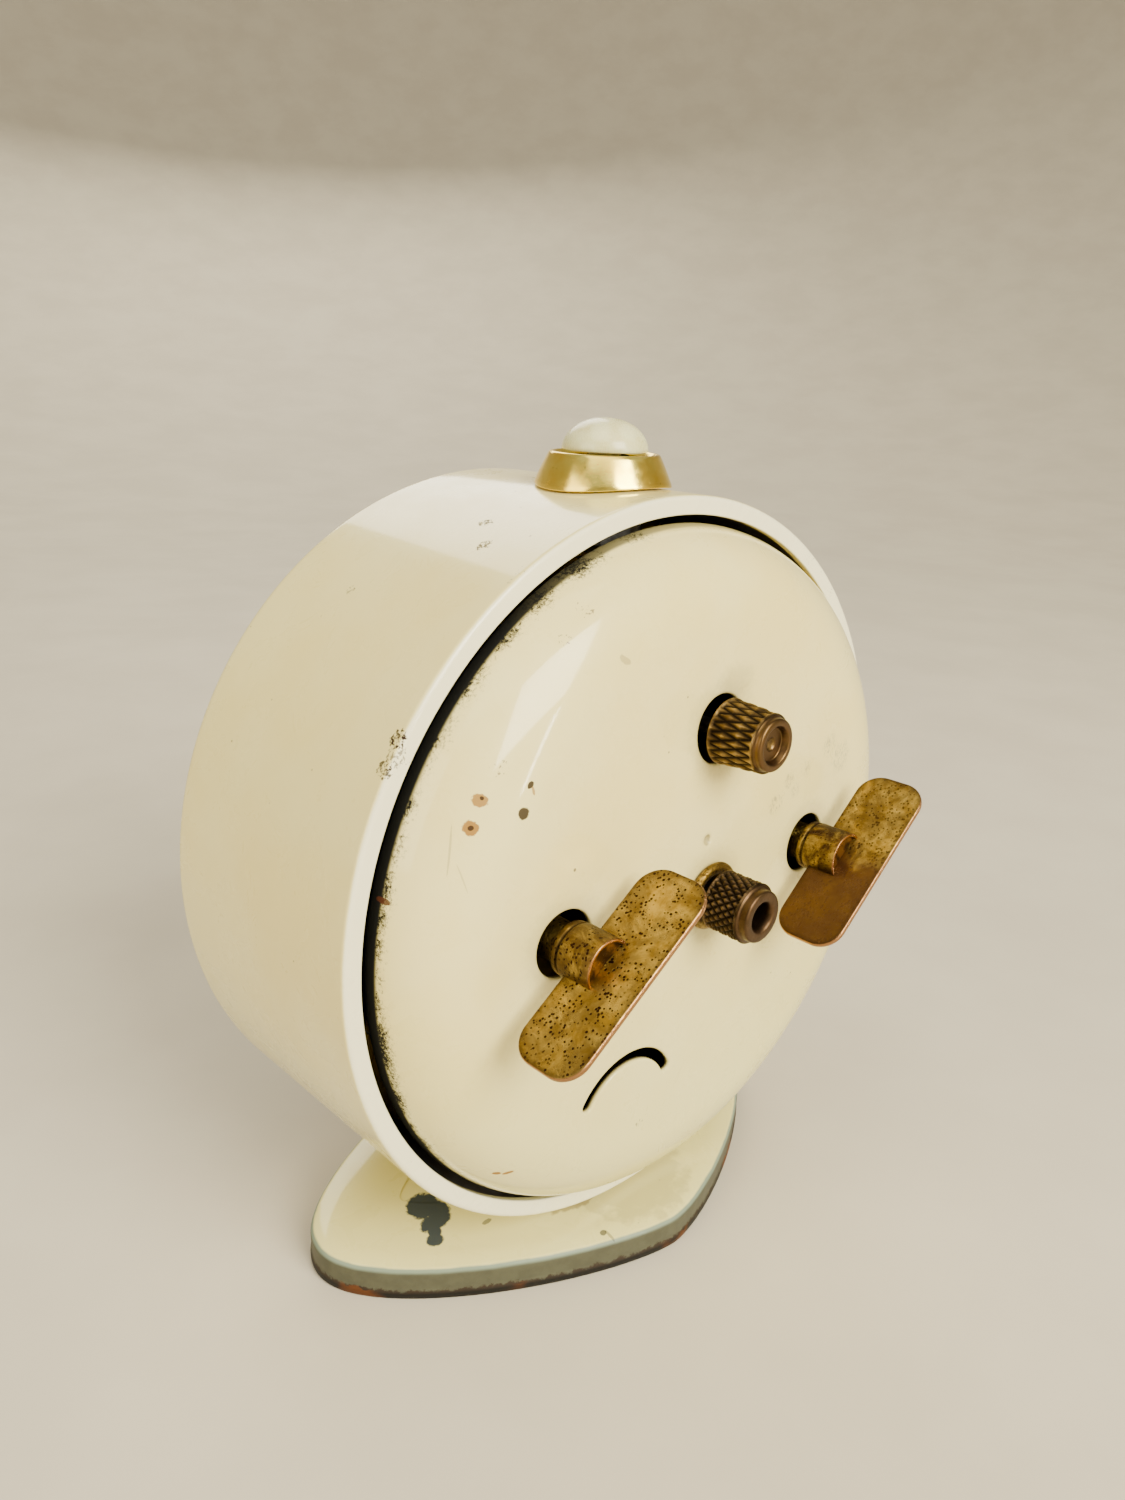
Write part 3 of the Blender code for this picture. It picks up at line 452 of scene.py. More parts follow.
def bell_back():
    seg = 192
    holes = [lambda g, c=c, r=r: ring(c, r + g, 48) for c, r in HOLES] + [slot_ring]
    points, edges = [], []
    rim = ring((0.0, 0.0), CROWN_R, seg)
    points += rim
    edges += [(k, (k + 1) % seg) for k in range(seg)]
    for hole in holes:
        for k, grow in enumerate(LIP_STEPS + (0.9,)):
            loop = hole(grow)
            if k == 0:
                at = len(points)
                edges += [(at + i, at + (i + 1) % len(loop)) for i in range(len(loop))]
            points += loop
    for r, n in ((0.0, 1), (0.3, 10), (0.5, 14), (0.7, 16), (0.9, 18), (1.3, 20)):
        points += ring(DIMPLE, r, n)
    step = 1.3
    for row in range(-30, 31):
        for col in range(-30, 31):
            p = (step * (col + 0.5 * (row % 2)), step * 0.866 * row)
            if math.hypot(*p) < CROWN_R - 0.8 and hole_gap(*p) > 1.5 and math.dist(p, DIMPLE) > 1.8:
                points.append(p)
    flat, _, tris, *_ = delaunay_2d_cdt([Vector(p) for p in points], edges, [], 0, 1e-5)
    outlines = [hole(0.0) for hole in holes]
    keep = []
    for tri in tris:
        mid = sum((flat[i] for i in tri), Vector((0, 0))) / 3
        if mid.length < CROWN_R and not any(inside(mid, loop) for loop in outlines):
            keep.append(list(tri))
    verts = [spot(p.x, crown_face(p.x, p.y), p.y) for p in flat]
    under = len(verts)
    verts += [spot(p.x, crown(p.length) - BELL_WALL, p.y) for p in flat]
    faces = keep + [[i + under for i in reversed(tri)] for tri in keep]
    used = {}
    for tri in keep:
        for a, b in zip(tri, tri[1:] + tri[:1]):
            used[frozenset((a, b))] = used.get(frozenset((a, b)), 0) + 1
    for pair, count in used.items():
        a, b = pair
        if count == 1 and flat[a].length < CROWN_R - 0.01:
            faces.append([a, b, b + under, a + under])
    side = [(CROWN_R, SHOULDER_Y)]
    for k in range(1, 21):
        a = math.pi / 2 * k / 20
        side.append((CROWN_R + BELL_EDGE * math.sin(a), RIM_Y + (SHOULDER_Y - RIM_Y) * math.cos(a)))
    side[-1] = (BELL_R, RIM_Y + 0.3)
    side += [(BELL_R - 0.08, RIM_Y + 0.08), (BELL_R - 0.3, RIM_Y), (BELL_R - 0.5, RIM_Y),
             (BELL_R - 0.72, RIM_Y + 0.1)]
    for k in range(19, -1, -1):
        a = math.pi / 2 * k / 20
        side.append((CROWN_R + (BELL_EDGE - BELL_WALL) * math.sin(a),
                     RIM_Y + (SHOULDER_Y - BELL_WALL - RIM_Y) * math.cos(a)))
    at = len(verts)
    for r, y in side:
        verts += [spot(x, y, z) for x, z in ring((0.0, 0.0), r, seg)]
    for k in range(len(side) - 1):
        for i in range(seg):
            j = (i + 1) % seg
            faces.append([at + k * seg + i, at + k * seg + j, at + (k + 1) * seg + j, at + (k + 1) * seg + i])
    obj = piece("bell_back", verts, faces, "case", "enamel", "back_cover")
    paint(obj, "bare", bare_bell)
    wear(obj, bell_enamel())


def bare_bell(x, y, z):
    """1 where the sheet's cut edge or inside shows."""
    r = math.hypot(x, z)
    below = crown(min(r, BELL_R - 0.01)) - y
    return min(max((below - 0.42) / 0.2, 0.0), 1.0) if r < BELL_R - 0.4 else 0.0


def bell_mark(x, z):
    return (x, crown(math.hypot(x, z)), z)


def enamel(name, low_shade=0.0):
    """Aged cream enamel: clouding, fine specks, soft orange peel, and, when asked, painted shade that turns
    the lower part darker and greener.
    """
    f = Finish(name, coat_roughness=0.085, specular_ior_level=0.2)
    cloud = f.ease(f.noise(22, 3, 0.6), 0.35, 0.65)
    colour = f.mix(cloud, CREAM, CREAM_WARM)
    if low_shade:
        # painted shade: the enamel is mixed towards a darker, greener cream lower down
        painted_low_shade = f.ease(f.axes()[2], (AXIS_Z + 10) * 0.001, (AXIS_Z - 42) * 0.001, 0.0, low_shade)
        colour = f.mix(painted_low_shade, colour, CREAM_COOL_AND_SHADE)
    fine = f.ease(f.noise(0.9, 4, 0.7), 0.35, 0.75)
    colour = f.lay(colour, fine, 0.10, CREAM_WARM)
    dots = f.ease(f.cells(3.1), 0.055, 0.03)
    some = f.ease(f.noise(9, 2), 0.52, 0.60)
    specks = f.times(dots, some)
    colour = f.lay(colour, specks, 0.75, GRIME_AND_SHADE)
    f.height(f.noise(2.6, 2, 0.5), 0.020, 0.5)
    f.height(f.less(1.0, specks), 0.04, 0.8)
    smudge = f.ease(f.noise(7, 4, 0.65, 0.6), 0.38, 0.70)
    rough = f.blend(smudge, 0.26, 0.40)
    f.bare = f.times(specks, 0.5)
    return f, colour, rough


def glossed(f, colour, rough):
    """Finishes an enamel whose clear gloss stops wherever something lies on it or has flaked it."""
    f.feed(f.shader.inputs["Coat Weight"], f.ease(f.bare, 0.15, 0.75, 0.7, 0.0))
    return f.done(colour, f.blend(f.bare, rough, 0.75))


def spread(f, colour, blots, jitter):
    """Lays (places, half size, tint, ragged, share, turn) marks over the enamel."""
    for at, size, tint, ragged, share, turn in blots:
        mask = f.blot(at, size, ragged, turn, jitter, 0.3)
        colour = f.lay(colour, mask, share, tint)
        f.bared(f.times(mask, share))
    return colour


def bell_enamel():
    f, colour, rough = enamel("bell_enamel", 0.5)
    jag = f.less(f.noise(0.7, 4, 0.7), 0.5)
    x, y, z = f.axes()
    # black dust packed into the gap, thinning over the rounded edge, mostly on the left; the solid black
    # right at the rim is painted shade in the gap between the bell and the lip
    near = f.ease(y, (LIP_Y + 5.4) * 0.001, (LIP_Y - 0.3) * 0.001)
    side = f.ease(x, -0.020, 0.030, 0.25, 1.0)
    packed = f.times(f.power(near, 1.6), side)
    grit = f.noise(0.38, 6, 0.9)
    patchy = f.ease(f.noise(5.0, 4, 0.7), 0.30, 0.70, 0.24, 0.52)
    dust_and_gap_shade = f.ease(f.less(f.times(packed, patchy), grit), -0.27, -0.08)
    # painted shade: solid black along the rim where the bell sinks into the lip, strongest on the left
    dust_and_gap_shade = f.most(dust_and_gap_shade, f.times(f.ease(near, 0.90, 0.98), side))
    colour = f.mix(dust_and_gap_shade, colour, SOOT_AND_SHADE)
    f.bared(dust_and_gap_shade)
    # a darker ring round the keys, the upper knob and the centre eyelet
    for c, r in ((SETTER, SETTER_HOLE), (TIME, KEY_HOLE), (ALARM, KEY_HOLE), ((0.0, 0.0), 4.4)):
        halo = f.blot((c[0], crown(math.hypot(*c)), c[1]), (r + 1.6, 3.0, r + 1.6), 0.25, 0.0, jag, 0.45)
        colour = f.lay(colour, halo, 0.20, GRIME_AND_SHADE)
    pits = [
        (bell_mark(38.0, 17.9), (0.42, 1.0, 0.42), RUST_PALE, 1.0, 0.9, 0),
        (bell_mark(38.0, 17.9), (0.22, 1.0, 0.18), RUST_DARK, 0.6, 0.9, 20),
        (bell_mark(36.7, 20.7), (0.42, 1.0, 0.40), RUST_PALE, 1.0, 0.85, 0),
        (bell_mark(36.5, 20.9), (0.14, 1.0, 0.14), RUST_DARK, 0.6, 0.9, 0),
        (bell_mark(31.2, 21.7), (0.30, 1.0, 0.20), RUST_DARK, 0.7, 0.95, 40),
        (bell_mark(30.9, 21.0), (0.12, 1.0, 0.35), RUST_PALE, 0.6, 0.7, 10),
        (bell_mark(32.2, 18.7), (0.52, 1.0, 0.52), RUST_DARK, 0.45, 0.95, 0),
        (bell_mark(45.2, 9.6), (0.20, 1.2, 0.25), (0.07, 0.018, 0.005), 0.6, 0.9, 0),
        (bell_mark(31.9, -29.4), (0.30, 1.0, 0.16), RUST_PALE, 0.9, 0.9, -20),
        (bell_mark(30.6, -29.6), (0.36, 1.0, 0.16), RUST_PALE, 0.9, 0.9, 15),
        (bell_mark(17.6, 33.5), (0.55, 1.0, 0.25), GRIME_AND_SHADE, 0.8, 0.40, -35),
        (bell_mark(40.1, 15.7), (0.07, 1.0, 2.0), GRIME_AND_SHADE, 0.5, 0.35, -12),
        (bell_mark(39.3, 12.6), (0.06, 1.0, 1.3), GRIME_AND_SHADE, 0.5, 0.30, 14),
        (bell_mark(24.6, 10.2), (0.14, 1.0, 0.14), GRIME_AND_SHADE, 0.6, 0.8, 0),
        (bell_mark(DIMPLE[0], DIMPLE[1]), (0.56, 1.0, 0.68), GRIME_AND_SHADE, 0.25, 0.55, 0),
    ]
    colour = spread(f, colour, pits, jag)
    # faint grey rubs, broken up by fine streaks
    streaks = f.ease(f.noise(0.8, 5, 0.75, 0.5, f.drawn((2.4, 1.0, 1.0), (0.0, 0.8, 0.0))), 0.47, 0.60)
    rubs = ((-25.6, 15.3, 1.5, 0.60), (-28.8, 12.8, 2.0, 0.55), (-16.1, 12.2, 1.1, 0.60),
            (-19.9, 13.1, 1.0, 0.45), (-13.2, 9.3, 1.3, 0.65), (-17.7, 10.4, 1.0, 0.40))
    for x_at, z_at, half, share in rubs:
        zone = f.blot(bell_mark(x_at, z_at), (half, 1.4, half), 0.5, 0, jag, 0.9)
        colour = f.mix(f.times(f.times(zone, streaks), share), colour, SMUDGE)
    bloom = f.blot(bell_mark(-2.4, 28.2), (3.0, 1.2, 1.8), 0.6, 0, jag, 1.0)
    colour = f.lay(colour, bloom, 0.22, GRIME_AND_SHADE)
    # clusters of fine pits where the enamel has flaked
    flecks = f.less(1.0, f.noise(0.5, 3, 0.8))
    for at, size, turn in (((20.8, 38.9), (2.2, 1.6, 1.1), -40), ((24.3, 36.1), (1.2, 1.2, 0.8), 0),
                           ((34.4, 24.0), (1.6, 1.4, 1.8), 10), ((43.2, 22.4), (1.2, 2.0, 1.6), 0),
                           ((12.6, 35.4), (1.0, 1.0, 0.6), 0), ((9.5, -31.0), (1.2, 1.0, 0.8), 0)):
        zone = f.blot(bell_mark(*at), size, 0.4, turn, jag, 0.8)
        hit = f.ease(f.times(zone, flecks), 0.56, 0.62)
        colour = f.lay(colour, hit, 0.8, GRIME_AND_SHADE)
    bare = f.stored("bare")
    colour = f.mix(bare, colour, f.mix(f.ease(f.noise(1.2, 3), 0.35, 0.65), BRASS_BROWN, GRIME_AND_SHADE))
    f.bared(bare)
    return glossed(f, colour, rough)


# ---- case ----------------------------------------------------------------------
def case_drum():
    f_in = CASE_R - 3.2
    outline = rounded([(LIP_R, 0.0, 0.25), (CASE_R, 0.0, 0.75), (CASE_R, FRONT, 3.1), (f_in, FRONT, 0.25),
                       (f_in, FRONT + SHEET, 0.25), (CASE_R - SHEET, FRONT + SHEET, 2.6),
                       (CASE_R - SHEET, -1.5, 0.5), (LIP_R, -1.4, 0.5)], 6)
    verts, faces = revolve(rows(outline, 3.0), seg=224)
    obj = piece("case_drum", verts, faces, "case", "enamel", "case_shell")
    button = centre_up("stop_button")
    bore(obj, button, 4.6, CASE_R - 4, CASE_R + 2)
    for screw in ("foot_screw_rear", "foot_screw_front"):
        bore(obj, centre_up(screw), 1.7, -CASE_R - 2, -CASE_R + 3, 24)
    sharpen(obj, 50)
    wear(obj, drum_enamel())


def centre_up(node):
    """(x, y) of a node that stands on end."""
    lo, hi = span(node)
    return ((lo.x + hi.x) / 2, (lo.y + hi.y) / 2 - LIP_Y)


def drum_enamel():
    f, colour, rough = enamel("drum_enamel", 0.35)
    x, y, z = f.axes()
    lip_y = LIP_Y * 0.001
    soft = f.noise(3.0, 3)
    # painted highlight: the folded lip's face is painted cooler and whiter, standing for the bright band of
    # light along it, with a worn line along its edge
    lip_highlight_and_wear = f.ease(f.scaled(soft, 0.0002, y), lip_y - 0.00035, lip_y - 0.00005)
    colour = f.lay(colour, lip_highlight_and_wear, 0.9, LIP_HIGHLIGHT)
    jag = f.less(f.noise(0.55, 4, 0.75), 0.5)
    chips = f.less(1.0, f.noise(0.45, 3, 0.8))
    band = f.ease(y, lip_y - 0.0045, lip_y - 0.0012)
    near_lip = f.times(band, f.ease(f.noise(12, 2), 0.56, 0.66))
    flaked = f.ease(f.times(near_lip, chips), 0.60, 0.66)
    colour = f.lay(colour, flaked, 0.7, GRIME_AND_SHADE)
    for angle, y_at, size, share in ((32.2, -0.9, (1.0, 1.1, 1.4), 1.0), (28.3, -0.9, (1.1, 1.1, 1.1), 0.9),
                                     (67.0, -14.4, (0.9, 1.1, 0.9), 0.8), (62.2, -10.1, (1.2, 1.0, 0.9), 0.8),
                                     (49.0, -23.4, (0.7, 0.7, 0.7), 0.7), (30.2, -0.5, (1.8, 0.9, 1.8), 0.7)):
        a = math.radians(angle)
        zone = f.blot((CASE_R * math.cos(a), y_at, CASE_R * math.sin(a)), size, 0.5, 0, jag, 0.7)
        hit = f.times(f.ease(f.times(zone, chips), 0.48, 0.54), share)
        colour = f.mix(hit, colour, RUST_DARK)
        f.bared(hit)
    rust = f.blot((0.0, -12.0, -CASE_R), (7.0, 9.0, 2.2), 0.4, 0, jag, 0.9)
    colour = f.lay(colour, rust, 0.35, RUST_PALE)
    # raw inside of the sheet
    flat = f.add("ShaderNodeCombineXYZ", {0: x, 2: f.less(z, AXIS_Z * 0.001)}).outputs[0]
    out = f.add("ShaderNodeVectorMath", {0: flat}, operation="LENGTH").outputs["Value"]
    inner = f.times(f.ease(out, (CASE_R - 0.35) * 0.001, (CASE_R - 0.55) * 0.001),
                  f.ease(y, lip_y - 0.0006, lip_y - 0.0012))
    inner = f.times(inner, f.ease(y, (LIP_Y + FRONT + 0.45) * 0.001, (LIP_Y + FRONT + 0.65) * 0.001))
    colour = f.mix(inner, colour, f.mix(f.noise(2.0, 4), GRIME_AND_SHADE, STEEL_DARK))
    f.bared(inner)
    return glossed(f, colour, rough)


def front_ring():
    far = span("front_bezel")[0].y - LIP_Y
    r = CASE_R - 3.5
    outline = rounded([(r, far + 0.6, 0.3), (r, far + 6.7, 0.15), (r - 0.9, far + 6.7, 0.15),
                       (r - 0.9, far + 2.4, 0.1), (r - 2.1, far + 2.4, 0.1), (r - 2.1, far + 1.6, 0.25),
                       (r - 1.9, far + 0.9, 0.3),
                       (r - 1.55, far + 0.75, 0.2), (r - 1.1, far, 0.5), (r - 0.5, far + 0.05, 0.4)], 5)
    verts, faces = revolve(outline, seg=192)
    obj = piece("front_ring", verts, faces, "case", "brass", "front_bezel")
    wear(obj, gold())


def lens():
    node_lo, node_hi = reach("glass_lens")
    r, rise = radius("glass_lens"), 3.4
    rim = node_lo + rise
    outer = [(r * k / 16, rim - rise * (1 - (k / 16) ** 2)) for k in range(17)]
    inner = [(r * k / 16, min(rim - rise * (1 - (k / 16) ** 2) + 1.0, node_hi)) for k in range(16, -1, -1)]
    verts, faces = revolve(outer + inner, seg=128)
    obj = piece("crystal", verts, faces, "case", "lens", "glass_lens")
    f = Finish("crystal", transmission_weight=1.0, ior=1.49, base_color=(0.97, 0.985, 0.97, 1.0))
    hair = f.noise(2.0, 3, 0.6, 0.0, f.drawn((1.0, 1.0, 9.0), (0.0, 0.6, 0.0)))
    wear(obj, f.done(rough=f.blend(f.ease(hair, 0.55, 0.8), 0.015, 0.10)))


# ---- dial and hands ---------------------------------------------------------------
def solid(name, loops, y0, y1, body, slot, *nodes, bevel=0.06):
    """Outlines in (x, z) made into one flat plate between two heights; later loops are holes."""
    bm = bmesh.new()
    edges = []
    for loop in loops:
        ring_verts = [bm.verts.new(spot(x, y0, z)) for x, z in loop]
        edges += [bm.edges.new(pair) for pair in zip(ring_verts, ring_verts[1:] + ring_verts[:1])]
    flat = bmesh.ops.triangle_fill(bm, edges=edges, use_beauty=True, use_dissolve=False)
    faces = [g for g in flat["geom"] if isinstance(g, bmesh.types.BMFace)]
    moved = bmesh.ops.extrude_face_region(bm, geom=faces)["geom"]
    bmesh.ops.translate(bm, verts=[g for g in moved if isinstance(g, bmesh.types.BMVert)],
                        vec=Vector((0, (y1 - y0) * 0.001, 0)))
    bmesh.ops.recalc_face_normals(bm, faces=bm.faces)
    mesh = bpy.data.meshes.new(name)
    bm.to_mesh(mesh)
    bm.free()
    mesh.polygons.foreach_set("use_smooth", [True] * len(mesh.polygons))
    obj = linked(name, mesh)
    if bevel:
        mod = obj.modifiers.new("bevel", "BEVEL")
        mod.width, mod.segments = bevel * 0.001, 2
        mod.limit_method, mod.angle_limit = "ANGLE", math.radians(40)
    return attach(obj, body, slot, *nodes)


def dial():
    r, (y0, y1) = radius("dial_plate"), reach("dial_plate")
    disc = rounded([(4.0, y0, 0.1), (r, y0, 0.15), (r, y1, 0.15), (4.0, y1, 0.1)], 2)
    verts, faces = revolve(rows(disc, 4.0), seg=160)
    obj = piece("dial_face", verts, faces, "case", "dial", "dial_plate")
    f = Finish("dial_face", coat_weight=0.1)
    cloud = f.ease(f.noise(14, 4, 0.6), 0.35, 0.7)
    fox = f.times(f.ease(f.cells(4.2), 0.10, 0.05), f.ease(f.noise(6, 2), 0.5, 0.6))
    colour = f.mix(f.times(fox, 0.6), f.mix(cloud, DIAL, DIAL_AGED), RUST_PALE)
    f.height(f.noise(0.35, 3), 0.008, 0.5)
    wear(obj, f.done(colour, f.blend(cloud, 0.45, 0.6)))
    ink = Finish("dial_ink", specular_ior_level=0.3)
    worn = ink.ease(ink.noise(0.5, 4, 0.7), 0.60, 0.75)
    ink_mat = ink.done(ink.mix(worn, INK, DIAL_AGED), ink.blend(worn, 0.38, 0.6))
    track(y0, ink_mat)
    numerals(y0, ink_mat)
    lume = Finish("dial_lume")
    tone = lume.mix(lume.noise(0.6, 4, 0.7), LUME, DIAL_AGED)
    lume_mat = lume.done(tone, lume.blend(lume.noise(0.4, 2), 0.6, 0.9))
    dot = [(0.0, y0 - 0.22), (0.45, y0 - 0.19), (0.72, y0 - 0.06), (0.72, y0 + 0.1), (0.0, y0 + 0.1)]
    dot_verts, dot_faces = [], []
    for k in range(12):
        one_verts, one_faces = revolve(dot, polar(40.4, 30.0 * k), 16)
        dot_faces += [[i + len(dot_verts) for i in face] for face in one_faces]
        dot_verts += one_verts
    wear(piece("dial_dots", dot_verts, dot_faces, "case", "dial"), lume_mat)


def track(y0, mat):
    """Printed minute ring with long hour strokes."""
    verts, faces = [], []

    def slab(loop):
        at = len(verts)
        n = len(loop)
        verts.extend([spot(x, y0 - 0.04, z) for x, z in loop] + [spot(x, y0 + 0.02, z) for x, z in loop])
        faces.append(list(range(at, at + n)))
        faces.append(list(range(at + 2 * n - 1, at + n - 1, -1)))
        faces.extend([[at + i, at + (i + 1) % n, at + n + (i + 1) % n, at + n + i] for i in range(n)])
    for k in range(60):
        a, half = 6.0 * k, (0.34 if k % 5 else 0.62)
        long = 38.4 if k % 5 else 37.9
        w = math.degrees(half / 2 / 38.4)
        slab([polar(long, a - w), polar(39.2, a - w), polar(39.2, a + w), polar(long, a + w)])
    line = [(39.2, y0 - 0.04), (39.45, y0 - 0.04), (39.45, y0 + 0.02), (39.2, y0 + 0.02)]
    ring_verts, ring_faces = revolve(line, seg=180)
    faces.extend([[i + len(verts) for i in face] for face in ring_faces])
    verts.extend(ring_verts)
    wear(piece("dial_track", verts, faces, "case", "dial"), mat)


def numerals(y0, mat):
    """The twelve hours as raised print."""
    parts = []
    for hour in range(1, 13):
        curve = bpy.data.curves.new("hour", "FONT")
        curve.body, curve.size, curve.extrude = str(hour), 0.0088, 0.00003
        curve.align_x, curve.align_y, curve.offset = "CENTER", "CENTER", 0.00014
        text = linked("hour", curve)
        bpy.context.view_layer.update()
        mesh = bpy.data.meshes.new_from_object(text.evaluated_get(bpy.context.evaluated_depsgraph_get()))
        x, z = polar(32.4, 90 - 30 * hour)
        mesh.transform(Matrix.Translation(spot(x, y0 - 0.02, z)) @ Matrix.Rotation(math.pi / 2, 4, "X"))
        parts.append(mesh)
        bpy.data.objects.remove(text)
    bm = bmesh.new()
    for mesh in parts:
        bm.from_mesh(mesh)
    bmesh.ops.remove_doubles(bm, verts=bm.verts, dist=1e-7)
    joined = bpy.data.meshes.new("dial_numerals")
    bm.to_mesh(joined)
    bm.free()
    wear(attach(linked("dial_numerals", joined), "case", "dial"), mat)


def leaf(length, width, hub, degrees, waist=0.55):
    """Outline of a hand: round hub, slim neck, leaf and point."""
    side = [(hub + 0.2, width * 0.30), (length * 0.30, width * 0.30), (length * waist, width * 0.5),
            (length * 0.80, width * 0.36), (length * 0.97, width * 0.10)]
    hub_open = math.degrees(math.asin(width * 0.30 / hub))
    arc = [(hub, hub_open + (360 - 2 * hub_open) * k / 28) for k in range(1, 28)]
    out = [(r, w, 1) for r, w in side] + [(length, 0.0, 1)] + [(r, w, -1) for r, w in reversed(side)]
    a = math.radians(degrees)
    points = []
    for r, w, s in out:
        points.append((r * math.cos(a) + s * w * math.sin(a), r * math.sin(a) - s * w * math.cos(a)))
    ring_part = [polar(r, degrees + d) for r, d in arc]
    return points + ring_part


def hands():
    plan = (("minute_pointer", "minute_hand", "time_setting", "blued", 36.0, 3.2, 2.6, 36.0, 1.25),
            ("hour_pointer", "hour_hand", "hour_gear", "blued", 24.0, 4.4, 3.6, 145.5, 2.1),
            ("alarm_pointer", "alarm_hand", "alarm_gear", "brass", 17.0, 2.2, 4.4, 90.0, 3.1))
    finishes = {"blued": blued_steel(), "brass": movement_brass("alarm_pointer_brass")}
    for name, node, body, slot, length, width, hub, degrees, hole in plan:
        y0, y1 = reach(node)
        loop = leaf(length, width, hub, degrees)
        obj = solid(name, [loop, ring((0.0, 0.0), hole, 32)], y0, y1, body, slot, node)
        wear(obj, finishes[slot])


# ---- fittings on the back -----------------------------------------------------------
def eyelet():
    lo, hi = reach("cover_ferrule")
    r = radius("cover_ferrule")
    seat = BELL_TOP + 0.1
    outline = rounded([(2.05, lo + 0.2, 0.2), (2.65, lo + 0.2, 0.2), (2.65, seat, 0.1), (r - 0.35, seat, 0.3),
                       (r, seat + 0.5, 0.5), (r - 0.5, hi, 0.7), (3.3, hi - 0.05, 0.6), (2.7, hi - 0.8, 0.5),
                       (2.35, hi - 2.4, 0.5), (2.05, hi - 3.2, 0.3)], 6)
    verts, faces = revolve(outline, seg=96)
    obj = piece("centre_eyelet", verts, faces, "case", "brass", "cover_ferrule")
    wear(obj, key_brass("eyelet_brass", 0.75, 0.6))


def key_barrel(name, node, c, axis, body, mat):
    """Winding stem: shank, shoulder groove, barrel with a rimmed end, slotted for the wing."""
    lo, hi = reach(node)
    r = radius(node)
    outline = rounded([(0.0, lo, 0.0), (SHANK_R, lo, 0.2), (SHANK_R, GROOVE_Y - 1.0, 0.1),
                       (r - 0.12, GROOVE_Y - 0.95, 0.15), (r - 0.05, GROOVE_Y - 0.25, 0.1),
                       (r - 0.35, GROOVE_Y - 0.1, 0.08), (r - 0.35, GROOVE_Y + 0.1, 0.08),
                       (r, GROOVE_Y + 0.25, 0.12), (r, hi - 0.05, 0.16), (r - 0.18, hi, 0.12),
                       (r - 0.42, hi - 0.02, 0.14), (r - 0.62, hi - 0.42, 0.2), (0.0, hi - 0.46, 0.0)], 4)
    verts, faces = revolve(rows(outline, 0.8), c, 96)
    obj = piece(name, verts, faces, body, "brass", node)
    deep = reach(node.replace("stem", "plate"))[0] - 0.05
    half, far = 0.5, r + 1
    across = Vector((-axis.y, axis.x))
    box = []
    for y in (deep, hi + 2):
        for s, t in ((-1, -1), (1, -1), (1, 1), (-1, 1)):
            p = Vector(c) + axis * s * far + across * t * half
            box.append(spot(p.x, y, p.y))
    carve(obj, box, [[0, 1, 2, 3], [7, 6, 5, 4], [0, 1, 5, 4], [1, 2, 6, 5], [2, 3, 7, 6], [3, 0, 4, 7]])
    sharpen(obj, 40)

    def edge(x, y, z):
        out = math.dist((x, z), c)
        return max(0.0, 1 - abs(y - hi) / 0.16) * min(max((out - (r - 0.62)) / 0.2, 0.0), 1.0)

    def recess(x, y, z):
        return 1.0 if y > hi - 0.7 and math.dist((x, z), c) < r - 0.55 else 0.0

    def groove(x, y, z):
        return max(0.0, 1 - abs(y - GROOVE_Y) / 0.25)
    paint(obj, "edge", edge)
    paint(obj, "recess", recess)
    paint(obj, "groove", groove)
    wear(obj, mat)


def inset_ring(half_l, half_w, corner, inset, arc=10, side=(22, 8)):
    """Rounded rectangle pulled in by inset, with a fixed count of points."""
    l, w = half_l - inset, half_w - inset
    r = max(corner - inset, min(0.35, w * 0.5))
    pts = []
    quads = ((1, 1, 0), (-1, 1, 90), (-1, -1, 180), (1, -1, 270))
    for k, (sx, sw, a0) in enumerate(quads):
        cx, cw = sx * (l - r), sw * (w - r)
        for i in range(arc + 1):
            a = math.radians(a0 + 90 * i / arc)
            pts.append((cx + r * math.cos(a), cw + r * math.sin(a)))
        nx, nw, _ = quads[(k + 1) % 4]
        a = math.radians(a0 + 90)
        start = pts[-1]
        end = (nx * (l - r) + r * math.cos(a), nw * (w - r) + r * math.sin(a))
        count = side[k % 2]
        pts += [(start[0] + (end[0] - start[0]) * i / count, start[1] + (end[1] - start[1]) * i / count)
                for i in range(1, count)]
    return pts


def key_wing(name, node, c, axis, body, mat):
    """Flat wing with worn, rounded edges."""
    lo, hi = reach(node)
    mid, half_w = (lo + hi) / 2, (hi - lo) / 2
    half_l, thick, corner = KEY_HALF, 0.45, KEY_CORNER
    bevel = [(0.0, 0.18), (0.03, 0.28), (0.10, 0.38), (0.20, 0.435), (0.34, thick)]
    steps = bevel + [(d, thick) for d in (0.6, 1.0, 1.5, 2.1, 2.8, 3.5, 4.0)]
    across = Vector((-axis.y, axis.x))
    verts, faces, rings = [], [], []
    order = steps[::-1] + [(d, -t) for d, t in steps]
    for d, t in order:
        loop = inset_ring(half_l, half_w, corner, d)
        rings.append(list(range(len(verts), len(verts) + len(loop))))
        for s, h in loop:
            p = Vector(c) + axis * s + across * t
            verts.append(spot(p.x, mid + h, p.y))
    n = len(rings[0])
    for a, b in zip(rings, rings[1:]):
        faces += [[a[i], a[(i + 1) % n], b[(i + 1) % n], b[i]] for i in range(n)]
    faces += [rings[0], rings[-1][::-1]]
    obj = piece(name, verts, faces, body, "brass", node)

    def edge(x, y, z):
        p = Vector((x, z)) - Vector(c)
        s, h = abs(p.dot(axis)), abs(y - mid)
        qs, qh = s - (half_l - corner), h - (half_w - corner)
        out = math.hypot(max(qs, 0), max(qh, 0)) + min(max(qs, qh), 0.0) - corner
        return min(max(-out, 0.0), 4.0)
    paint(obj, "inset", edge)
    paint(obj, "along", lambda x, y, z: (Vector((x, z)) - Vector(c)).dot(axis))
    wear(obj, mat)


